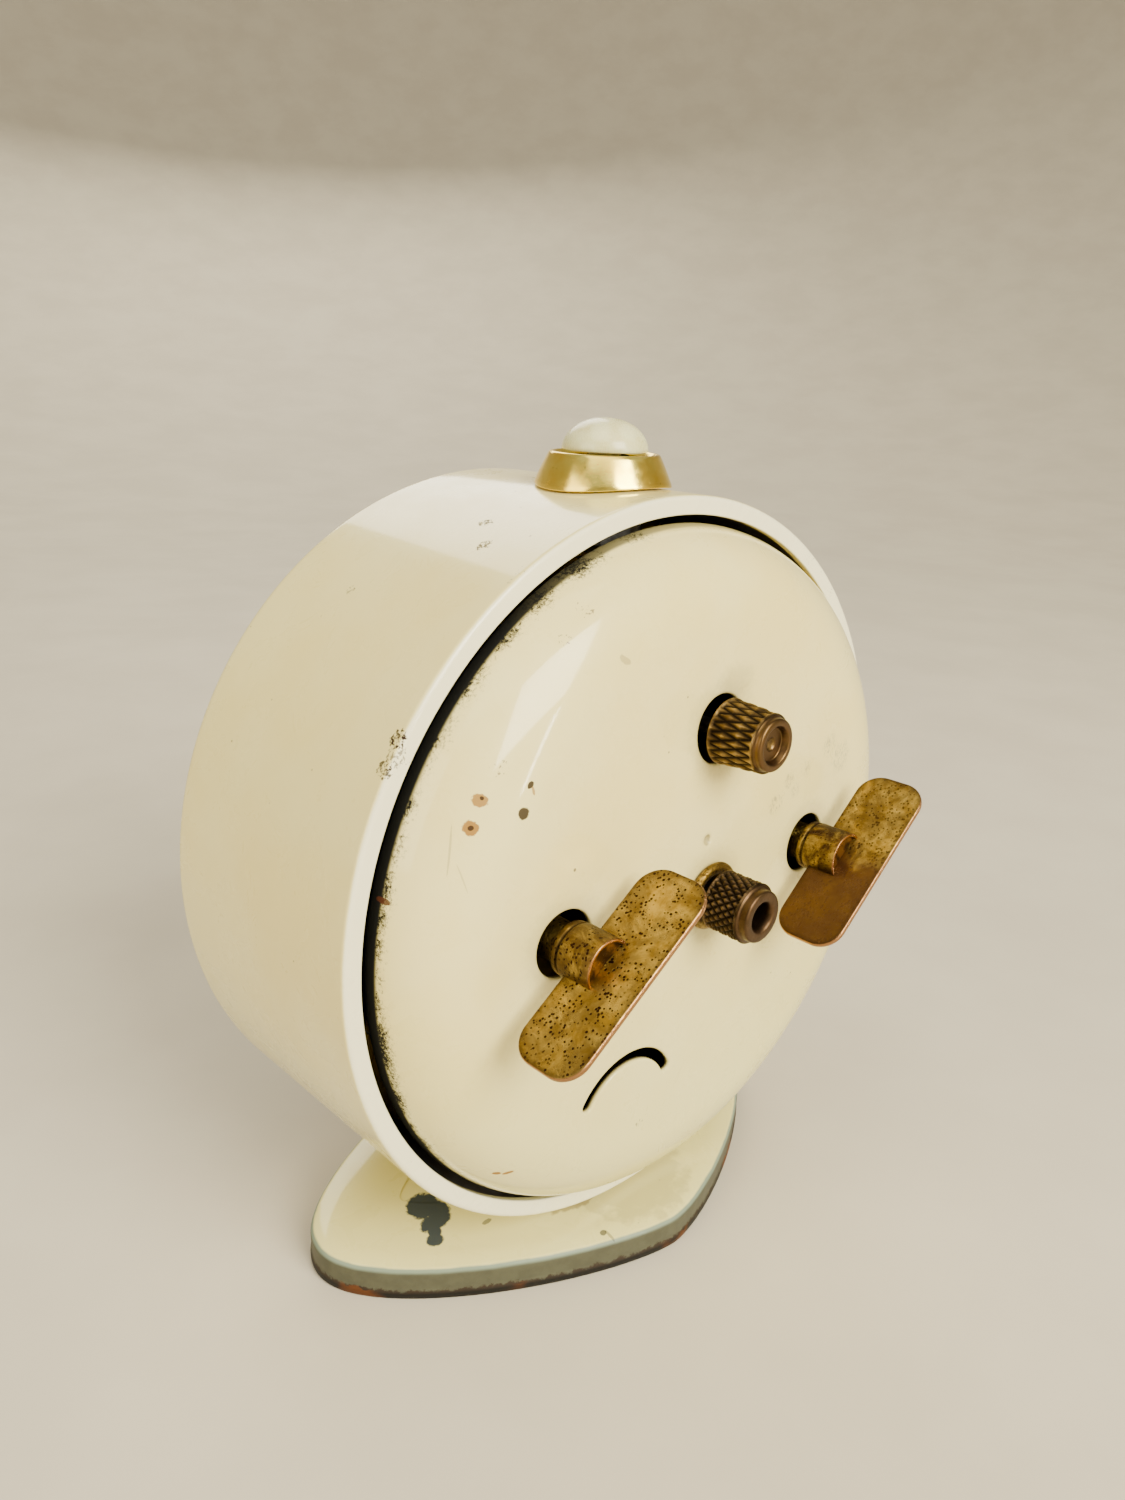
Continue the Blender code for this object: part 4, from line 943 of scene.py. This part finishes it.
def patina(f, tarnish, speck):
    """Yellow brass going brown in clouds, with dense dark specks and crossing scratches."""
    cloud = f.ease(f.noise(4.2, 6, 0.70, 0.5), 0.40 - 0.1 * tarnish, 0.66 - 0.1 * tarnish)
    colour = f.mix(f.ease(f.noise(2.2, 4, 0.6), 0.35, 0.65), BRASS, BRASS_PALE)
    colour = f.lay(colour, cloud, tarnish, BRASS_BROWN)
    size = f.noise(1.4, 3, 0.6)
    dots = f.ease(f.scaled(size, -0.66, f.cells(0.50)), 0.02, -0.08)
    specks = f.times(dots, f.ease(f.noise(2.8, 3), 0.32, 0.50))
    colour = f.lay(colour, specks, speck, RUST_DARK)
    lines = None
    for turn, stretch in ((0.5, 26.0), (-0.9, 18.0), (1.35, 30.0)):
        grain = f.noise(2.6, 2, 0.5, 0.3, f.drawn((stretch, stretch, 1.0), (0.3, turn, 0.0)))
        hit = f.ease(grain, 0.63, 0.68)
        lines = hit if lines is None else f.most(lines, hit)
    lines = f.times(lines, f.ease(f.noise(2.4, 3), 0.45, 0.6))
    colour = f.lay(colour, lines, 0.9 * speck, BRASS_BROWN)
    f.height(f.less(1.0, f.most(specks, f.times(lines, 0.6))), 0.05, 0.7)
    f.height(f.noise(1.1, 4, 0.6), 0.03, 0.5)
    rough = f.blend(f.most(cloud, specks), 0.30, 0.52)
    return colour, rough


def key_brass(name, tarnish, speck):
    f = Finish(name, metallic=1.0)
    colour, rough = patina(f, tarnish, speck)
    return f.done(colour, rough)


def barrel_brass(name, tarnish, speck):
    f = Finish(name, metallic=1.0)
    colour, rough = patina(f, tarnish, speck)
    floor = f.mix(f.ease(f.noise(1.4, 4), 0.4, 0.6), (0.20, 0.095, 0.022), BRASS_BROWN)
    colour = f.mix(f.stored("recess"), colour, floor)
    # worn bright rim at the barrel's end, partly a painted highlight in pale copper
    colour = f.mix(f.stored("edge"), colour, WORN_EDGE_AND_HIGHLIGHT)
    colour = f.lay(colour, f.stored("groove"), 0.9, BRONZE_DARK)
    rough = f.blend(f.stored("edge"), rough, 0.25)
    return f.done(colour, rough)


def wing_brass(name, tarnish, speck, brown_end):
    f = Finish(name, metallic=1.0)
    colour, rough = patina(f, tarnish, speck)
    if brown_end:
        line = f.scaled(f.less(f.noise(3.0, 4), 0.5), 5.0, f.stored("along"))
        film = f.mix(f.noise(1.5, 4, 0.7), (0.105, 0.052, 0.019), (0.065, 0.031, 0.012))
        colour = f.mix(f.ease(line, -1.5, 1.5, 0.0, 0.95), colour, film)
    inset = f.scaled(f.noise(0.9, 4, 0.65), 1.3, f.stored("inset"))
    worn = f.ease(inset, 1.5, 0.75)
    colour = f.lay(colour, worn, 0.55, BRASS_BROWN)
    # worn bright rim, partly a painted highlight: the outermost edge is painted pale copper
    lip_highlight_and_wear = f.ease(f.stored("inset"), 0.16, 0.03)
    colour = f.lay(colour, lip_highlight_and_wear, 0.85, WORN_EDGE_AND_HIGHLIGHT)
    rough = f.blend(lip_highlight_and_wear, rough, 0.28)
    return f.done(colour, rough)


def keys():
    for tag, c, tarnish, speck in (("time", TIME, 0.55, 1.0), ("alarm", ALARM, 0.70, 0.7)):
        body, axis = tag + "_key", Vector(polar(1.0, KEY_SLOPE[tag]))
        barrel = barrel_brass(tag + "_barrel_brass", tarnish + BARREL_DULL, speck)
        key_barrel(tag + "_key_barrel", tag + "_key_stem", c, axis, body, barrel)
        plate = wing_brass(tag + "_wing_brass", tarnish, speck, tag == "alarm")
        key_wing(tag + "_key_wing", tag + "_key_plate", c, axis, body, plate)


def knurl(name, node, body, mat, starts, lead, depth, taper, hub_y, nose, well):
    """Knob with cut knurling; starts is the number of cuts each way and lead their turn over the length."""
    c = centre(node)
    lo, hi = reach(node)
    base, tip = taper
    length = hi - lo
    nose_y = hi - nose

    def barrel(y):
        return base + (tip - base) * (y - lo) / length

    def shape(r, y, a):
        full = barrel(y)
        if r < full - 0.05 or not lo + 0.15 < y < nose_y:
            return r
        fade = min((y - lo - 0.15) / 0.35, (nose_y - y) / 0.35, 1.0)
        turn = lead * (y - lo) / length
        u = abs(((starts * (a / (2 * math.pi) + turn)) % 1.0) - 0.5) * 2
        v = abs(((starts * (a / (2 * math.pi) - turn)) % 1.0) - 0.5) * 2
        cut = max(1 - 1.25 * u, 1 - 1.25 * v, 0.0)
        return r - depth * min(cut, 1.0) * max(fade, 0.0)
    end_r, well_r, well_y = well
    outline = rounded([(0.0, lo + 1.2, 0.0), (1.2, lo + 1.2, 0.05), (1.2, hub_y, 0.1), (2.1, hub_y, 0.2),
                       (2.1, lo, 0.1), (base - 0.35, lo, 0.2)], 3)
    steps = 64
    heights = [lo + 0.1 + (nose_y - lo - 0.1) * k / steps for k in range(steps + 1)]
    outline += [(barrel(y), y) for y in heights]
    outline += rounded([(barrel(nose_y) - 0.25, nose_y + 0.12, 0.1), (end_r, nose_y + 0.35, 0.15),
                        (end_r, hi - 0.1, 0.45), (end_r - 0.55, hi, 0.3), (well_r + 0.25, hi - 0.03, 0.3),
                        (well_r, hi - 0.6, 0.35),
                        (well_r - 0.1, well_y, 0.35), (0.9, well_y + 0.02, 0.1), (0.6, well_y - 0.22, 0.2),
                        (0.0, well_y - 0.25, 0.0)], 4)
    verts, faces = revolve(outline, c, starts * 12, shape=shape)
    obj = piece(name, verts, faces, body, "brass", node)

    def relief(x, y, z):
        out = math.dist((x, z), c)
        if not lo + 0.1 < y < nose_y + 0.05 or out < barrel(y) - depth - 0.2:
            return 1.0
        return min(max((out - (barrel(y) - depth)) / depth, 0.0), 1.0)

    def end(x, y, z):
        return 1.0 if y > nose_y + 0.1 else 0.0

    def deep(x, y, z):
        out = math.dist((x, z), c)
        return min(max((hi - 0.5 - y) / 2.0, 0.0), 1.0) if out < well_r + 0.1 and y > lo + 1.3 else 0.0
    paint(obj, "relief", relief)
    paint(obj, "end", end)
    paint(obj, "deep", deep)
    wear(obj, mat)


def knob_finish(name, low, peak, tip, dirt, shine):
    """Knurled metal: dirt in the cuts, bright worn points, and a smooth end."""
    f = Finish(name, metallic=1.0)
    relief = f.stored("relief")
    patch = f.ease(f.noise(2.6, 4, 0.6), 0.35, 0.65)
    body = f.mix(f.power(relief, 1.5), dirt, f.mix(patch, low, peak))
    worn = f.times(f.ease(relief, 0.88, 1.0), f.ease(f.noise(1.3, 4), 0.42, 0.62))
    body = f.mix(f.times(worn, 0.6), body, peak)
    face = f.mix(f.ease(f.noise(1.6, 5, 0.7), 0.35, 0.7), tip, low)
    colour = f.mix(f.stored("end"), body, face)
    colour = f.mix(f.stored("deep"), colour, BRONZE_DARK)
    f.height(f.noise(0.5, 4, 0.65), 0.03, 0.6)
    rough = f.blend(relief, 0.7, shine)
    return f.done(colour, rough)


def knobs():
    dark = knob_finish("setting_knob_bronze", BRONZE, (0.15, 0.095, 0.045), (0.10, 0.058, 0.030),
                       BRONZE_DARK, 0.42)
    light = knob_finish("alarm_knob_brass", (0.11, 0.065, 0.022), (0.32, 0.205, 0.070), (0.12, 0.066, 0.028),
                        BRONZE_DARK, 0.34)
    knurl("time_set_grip", "time_set_knob", "time_setting", dark, 22, 0.20, 0.42, (4.0, 4.05), 10.7, 1.5,
          (3.45, 1.85, 13.6))
    knurl("alarm_set_grip", "alarm_set_knob", "alarm_setting", light, 20, 0.09, 0.34, (4.25, 3.72), 9.4, 1.1,
          (3.35, 2.2, 16.1))


def stop_button():
    c = centre_up("stop_button")
    lo, hi = span("button_collar")
    base, top = lo.z - AXIS_Z, hi.z - AXIS_Z
    r = (hi.x - lo.x) / 2
    outline = rounded([(4.9, base, 0.1), (r - 0.05, base, 0.12), (r - 0.12, base + 0.35, 0.2),
                       (r - 1.72, top - 0.25, 0.25), (r - 1.95, top, 0.3), (6.6, top - 0.02, 0.2),
                       (6.1, top - 0.6, 0.3), (6.1, base + 0.3, 0.05), (4.9, base + 0.3, 0.05)], 6)
    outline = rows(outline, 0.3)
    verts, faces = revolve(outline, c, 128, upright=True)
    rim = piece("button_rim", verts, faces, "case", "brass", "button_collar")
    for v in rim.data.vertices:
        share = min(max((top - (v.co.z * 1000 - AXIS_Z)) / (top - base), 0.0), 1.0)
        v.co.z -= (CASE_R - math.sqrt(CASE_R ** 2 - (v.co.x * 1000) ** 2)) * share ** 2 * 0.001
    wear(rim, gold())
    b_lo, b_hi = span("stop_button")
    cap, foot_z = b_hi.z - AXIS_Z, b_lo.z - AXIS_Z
    br = (b_hi.x - b_lo.x) / 2
    dome = [(0.0, cap)]
    for k in range(1, 15):
        a = math.pi / 2 * k / 14
        dome.append((br * math.sin(a) ** 0.92, cap - 4.0 * (1 - math.cos(a) ** 1.05)))
    under = base + 5.15
    dome += [(br - 0.1, cap - 4.1), (br - 0.8, cap - 4.1), (br - 0.95, under), (2.1, under),
             (2.1, foot_z + 0.3), (1.8, foot_z), (0.0, foot_z)]
    verts, faces = revolve(dome, c, 96, upright=True)
    obj = piece("stop_button_cap", verts, faces, "button", "ivory", "stop_button")
    f = Finish("ivory_plastic", subsurface_weight=0.35, subsurface_scale=0.003, coat_weight=0.2,
               coat_roughness=0.1)
    f.shader.inputs["Subsurface Radius"].default_value = (1.0, 0.75, 0.5)
    tone = f.mix(f.ease(f.noise(3.0, 3), 0.35, 0.7), IVORY, IVORY_DEEP)
    scuff = f.noise(1.2, 3, 0.6, 0.2, f.drawn((8.0, 8.0, 1.0), (0.4, 0.9, 0.2)))
    f.height(scuff, 0.01, 0.5)
    wear(obj, f.done(tone, f.blend(f.ease(scuff, 0.45, 0.75), 0.26, 0.45)))


def gold():
    """Polished lacquered brass of the collar and the front ring."""
    if "polished_gold" in bpy.data.materials:
        return bpy.data.materials["polished_gold"]
    f = Finish("polished_gold", metallic=1.0)
    tone = f.mix(f.ease(f.noise(3.0, 3, 0.6), 0.3, 0.7), GOLD, GOLD_DEEP)
    pits = f.times(f.ease(f.cells(1.3), 0.09, 0.05), f.ease(f.noise(2.6, 3), 0.5, 0.6))
    tone = f.lay(tone, pits, 0.7, BRASS_BROWN)
    spun = f.noise(1.2, 3, 0.6, 0.0, f.drawn((1.0, 1.0, 14.0)))
    f.height(spun, 0.006, 0.4)
    return f.done(tone, f.blend(f.ease(f.noise(1.8, 4, 0.7), 0.4, 0.75), 0.17, 0.28))


# ---- foot -----------------------------------------------------------------------------
FOOT_LO, FOOT_HI = span("foot_pan")
FOOT_HALF_W, FOOT_MID = (FOOT_HI.x - FOOT_LO.x) / 2, -19.0
FOOT_REAR, FOOT_FRONT = FOOT_HI.y - LIP_Y - FOOT_MID, FOOT_MID - (FOOT_LO.y - LIP_Y)
FOOT_POWER, FOOT_CORNER, FOOT_TOP, FOOT_WALL = 1.35, 8.0, FOOT_HI.z, 0.8
SKIRT = 4.2


def foot_ring(inset, z, n):
    """The rounded lozenge pulled in by inset, at a height over the table."""
    out = []
    for i in range(n):
        t = 2 * math.pi * i / n
        c, s = math.cos(t), math.sin(t)
        corner = max(FOOT_CORNER - inset, 0.8)
        core = FOOT_CORNER + max(inset - FOOT_CORNER + 0.8, 0.0)
        w, d = FOOT_HALF_W - core, (FOOT_REAR if s >= 0 else FOOT_FRONT) - core
        q = FOOT_POWER / (FOOT_POWER - 1)
        total = (abs(w * c) ** q + abs(d * s) ** q) ** ((q - 1) / q)
        x = math.copysign(w * abs(w * c) ** (q - 1) / total, c) + corner * c
        y = math.copysign(d * abs(d * s) ** (q - 1) / total, s) + corner * s
        out.append(Vector((x, FOOT_MID + y + LIP_Y, z)) * 0.001)
    return out


def foot():
    n = 240
    edge = rounded([(2.6, 0.0, 0.1), (0.15, 0.0, 0.35), (0.0, 0.9, 0.3), (0.25, 1.6, 0.4), (0.10, SKIRT, 0.5),
                    (0.50, SKIRT + 0.62, 0.5), (2.4, SKIRT + 1.05, 1.2), (8.0, FOOT_TOP - 0.3, 2.0),
                    (14.0, FOOT_TOP, 0.6)], 5)
    top = [(14.0 + 2.6 * k, FOOT_TOP) for k in (1, 2)]
    inner = FOOT_TOP - FOOT_WALL
    under = [(19.2, inner), (14.0, inner), (8.0, inner - 0.3), (2.4, SKIRT + 0.3),
             (1.0, SKIRT - 0.2), (0.85, 0.8), (2.6, 0.8)]
    loops = edge + top + under
    verts, faces = [], []
    for inset, z in loops:
        verts += foot_ring(inset, z, n)
    turn = len(edge) + len(top) - 1
    count = len(loops)
    for k in range(count):
        if k == turn:
            continue
        a, b = k * n, ((k + 1) % count) * n
        faces += [[a + i, a + (i + 1) % n, b + (i + 1) % n, b + i] for i in range(n)]
    faces.append(list(range(turn * n, (turn + 1) * n)))
    faces.append(list(range((turn + 1) * n, (turn + 2) * n))[::-1])
    obj = piece("foot_pressing", verts, faces, "case", "enamel", "foot_pan")
    for screw in ("foot_screw_rear", "foot_screw_front"):
        bore(obj, centre_up(screw), 1.7, -AXIS_Z + 1.5, -CASE_R + 1, 24)
    sharpen(obj, 50)
    wear(obj, foot_enamel())


def foot_enamel():
    f, colour, rough = enamel("foot_enamel")
    colour = f.mix(0.6, colour, CREAM_COOL_AND_SHADE)
    x, y, z = f.axes()
    jag = f.less(f.noise(0.9, 5, 0.7), 0.5)
    broad = f.noise(4.0, 3)
    level = f.scaled(broad, 0.0002, z)
    brim = (SKIRT + 0.75) * 0.001
    skirt = f.ease(level, brim, brim - 0.0002)
    shade = f.mix(f.ease(f.noise(2.4, 4, 0.6), 0.35, 0.65), PRIMER, f.mix(0.35, PRIMER, PRIMER_DARK_AND_SHADE))
    # painted shade: the skirt turns darker towards -x
    shade = f.mix(f.ease(x, 0.005, -0.030, 0.0, 0.55), shade, PRIMER_DARK_AND_SHADE)
    shade = f.mix(f.ease(level, brim - 0.0008, brim - 0.0003), shade, PRIMER_LIGHT)
    colour = f.mix(skirt, colour, shade)
    # rust creeping up from the bottom edge, and a near-black band along the very bottom, partly soot and
    # partly painted shade where the hem turns under against the floor
    low = f.ease(z, 0.0024, 0.0006)
    eaten = f.ease(f.scaled(low, 0.50, f.noise(1.5, 5, 0.75)), 0.68, 0.84)
    colour = f.lay(colour, eaten, 0.85, RUST_DARK)
    rusty = f.times(f.ease(f.scaled(low, 0.5, f.noise(1.1, 4, 0.7)), 0.74, 0.84),
                  f.ease(f.noise(11.0, 2), 0.50, 0.58))
    # painted shade: near-black along the hem where it turns under against the floor, with some soot
    colour = f.mix(f.ease(z, 0.0015, 0.0008, 0.0, 0.94), colour, SOOT_AND_SHADE)
    colour = f.mix(f.times(rusty, 0.7), colour, (0.11, 0.032, 0.005))
    f.bared(f.times(skirt, 0.6))
    top = FOOT_TOP - 0.35 - AXIS_Z
    patches = [
        ((27.1, -15.9, top), (1.9, 1.9, 2.0), SLATE, 0.45, 1.0, 0),
        ((25.8, -14.1, top), (1.15, 1.5, 2.0), SLATE, 0.45, 1.0, 0),
        ((27.6, -12.4, top), (1.9, 1.1, 2.0), SLATE, 0.45, 1.0, 0),
        ((29.7, -9.8, top), (1.0, 0.9, 2.0), SLATE, 0.40, 1.0, 0),
        ((28.8, -11.0, top), (0.8, 0.8, 2.0), SLATE, 0.40, 1.0, 0),
        ((10.9, 4.3, top), (0.36, 0.30, 1.2), PRIMER_DARK_AND_SHADE, 0.6, 0.8, 0),
        ((10.4, 5.2, top), (0.16, 0.7, 1.2), PRIMER_DARK_AND_SHADE, 0.6, 0.5, 0),
        ((22.1, -7.7, top), (0.55, 0.25, 1.2), PRIMER, 0.6, 0.7, 0),
        ((38.2, 1.0, -AXIS_Z + 0.4), (2.0, 3.0, 0.7), RUST, 0.8, 0.7, 0),
    ]
    colour = spread(f, colour, patches, jag)
    soft = f.less(f.noise(2.0, 4), 0.5)
    # a brown band on the foot's top by the lip, partly stain and partly painted shade, and a broad painted
    # shade under the drum where it sits on the foot
    stains_and_shade = [((9.0, -3.2, top), (3.2, 1.3, 1.5), (0.14, 0.075, 0.02), 0.7, 0.55, 0),
              ((0.0, -14.0, top), (9.0, 17.0, 1.0), GRIME_AND_SHADE, 0.5, 0.25, 0)]
    colour = spread(f, colour, stains_and_shade, soft)
    return glossed(f, colour, rough)


# ---- movement ---------------------------------------------------------------------------
def movement_brass(name="movement_brass"):
    f = Finish(name, metallic=1.0)
    tone = f.mix(f.ease(f.noise(6.0, 4, 0.6), 0.35, 0.7), BRASS_PALE, BRASS)
    tone = f.mix(f.ease(f.noise(2.0, 5, 0.7), 0.55, 0.75, 0.0, 0.6), tone, BRASS_BROWN)
    grain = f.noise(0.8, 3, 0.6, 0.0, f.drawn((1.0, 1.0, 18.0)))
    f.height(grain, 0.012, 0.5)
    return f.done(tone, f.blend(grain, 0.24, 0.42))


def steel(name, tone, dark, rust):
    f = Finish(name, metallic=1.0)
    colour = f.mix(f.ease(f.noise(3.0, 4, 0.6), 0.35, 0.7), tone, dark)
    colour = f.mix(f.ease(f.noise(1.2, 5, 0.75), 0.60, 0.72, 0.0, rust), colour, RUST)
    grain = f.noise(0.7, 3, 0.6, 0.0, f.drawn((12.0, 1.0, 12.0)))
    f.height(grain, 0.015, 0.5)
    return f.done(colour, f.blend(grain, 0.26, 0.5))


def blued_steel():
    f = Finish("blued_steel", metallic=0.9)
    tone = f.mix(f.ease(f.noise(5.0, 3), 0.35, 0.7), BLUE_STEEL, (0.05, 0.03, 0.09))
    tone = f.mix(f.ease(f.noise(0.8, 5, 0.75), 0.62, 0.74, 0.0, 0.5), tone, RUST_DARK)
    f.height(f.noise(0.5, 3), 0.01, 0.5)
    return f.done(tone, f.blend(f.noise(1.5, 3), 0.2, 0.36))


STEEL_WORDS = ("screw", "nut", "spring", "arbor", "lever", "pivot", "hammer", "click", "stud", "guide")


def movement():
    """Finishes for the CAD parts that stay: brass plates and wheels, steel arbors and springs."""
    brass, plain = movement_brass(), steel("movement_steel", STEEL, STEEL_DARK, 0.35)
    spring = steel("spring_steel", (0.20, 0.21, 0.24), STEEL_DARK, 0.15)
    for name, node in NODES.items():
        if node.hide_render:
            continue
        if "spring" in name:
            wear(node, spring)
        elif any(word in name for word in STEEL_WORDS):
            wear(node, plain)
        else:
            wear(node, brass)


# ---- stage --------------------------------------------------------------------------------
VIEW = Vector((-0.66599, -0.67593, -0.31557))
VIEW_ROLL = math.radians(2.645)
CAMERA_AT = spot(108.61, 90.91, 63.55)
LENS, SENSOR = 27.26, 36.0
WARM = (1.0, 0.945, 0.80)
FLOOR_R, SWEEP_R, WALL = 0.75, 1.7, 0.4


def camera():
    data = bpy.data.cameras.new("camera")
    data.lens, data.sensor_width, data.clip_start, data.clip_end = LENS, SENSOR, 0.01, 20.0
    obj = linked("camera", data)
    turn = VIEW.to_track_quat("-Z", "Y").to_matrix() @ Matrix.Rotation(VIEW_ROLL, 3, "Z")
    obj.matrix_world = Matrix.Translation(CAMERA_AT) @ turn.to_4x4()
    bpy.context.scene.camera = obj


def lamp(name, at, aim, size, power, roll=0.0):
    data = bpy.data.lights.new(name, "AREA")
    data.shape, data.size, data.size_y = "RECTANGLE", *size
    data.energy, data.color = power, WARM
    obj = linked(name, data)
    obj.location = at
    turn = (Vector(aim) - Vector(at)).to_track_quat("-Z", "Y").to_matrix()
    obj.rotation_euler = (turn @ Matrix.Rotation(math.radians(roll), 3, "Z")).to_euler()


def studio():
    """A pale floor that curves up into a wall all round, under soft lamps."""
    profile = [(0.0, 0.0)] + [(FLOOR_R * k / 12, 0.0) for k in range(1, 13)]
    profile += [(FLOOR_R + SWEEP_R * math.sin(a), SWEEP_R * (1 - math.cos(a)))
                for a in (math.pi / 2 * k / 16 for k in range(1, 17))]
    profile += [(FLOOR_R + SWEEP_R, SWEEP_R + WALL * k / 4) for k in range(1, 5)]
    seg, verts, faces = 96, [], []
    for r, z in profile:
        verts += [(r * math.cos(2 * math.pi * i / seg), r * math.sin(2 * math.pi * i / seg), z - 0.00002)
                  for i in range(seg)]
    for k in range(len(profile) - 1):
        faces += [[k * seg + i, k * seg + (i + 1) % seg, (k + 1) * seg + (i + 1) % seg, (k + 1) * seg + i]
                  for i in range(seg)]
    obj = linked("floor", closed_mesh("floor", verts, faces, 1e-6, outwards=False))
    f = Finish("floor_paper", specular_ior_level=0.2)
    colour = f.mix(f.ease(f.noise(60, 4, 0.6), 0.3, 0.7), FLOOR, FLOOR_SHADE)
    f.height(f.noise(0.8, 3), 0.02, 0.3)
    wear(obj, f.done(colour, f.blend(f.noise(20, 3), 0.55, 0.75)))
    world = bpy.data.worlds.new("studio")
    bpy.context.scene.world = world
    world.use_nodes = True
    back = world.node_tree.nodes["Background"]
    back.inputs["Color"].default_value, back.inputs["Strength"].default_value = (1.0, 0.95, 0.85, 1.0), 0.5
    aim = (0.0, 0.0, 0.06)
    lamp("overhead", (0.30, 0.25, 1.10), aim, (0.9, 0.9), 5.5)
    lamp("back_soft", (0.05, 0.95, 0.66), aim, (0.6, 0.6), 27.0)
    lamp("strip", (-0.10, 0.56, 0.11), aim, (0.016, 0.17), 0.55)
    lamp("fill", (0.95, -0.05, 0.40), aim, (0.6, 0.6), 5.0)
    lamp("front_fill", (-0.7, -1.3, 1.0), aim, (0.9, 0.9), 15.0)


camera()
studio()
case_drum()
front_ring()
lens()
dial()
hands()
bell_back()
eyelet()
keys()
knobs()
stop_button()
foot()
movement()
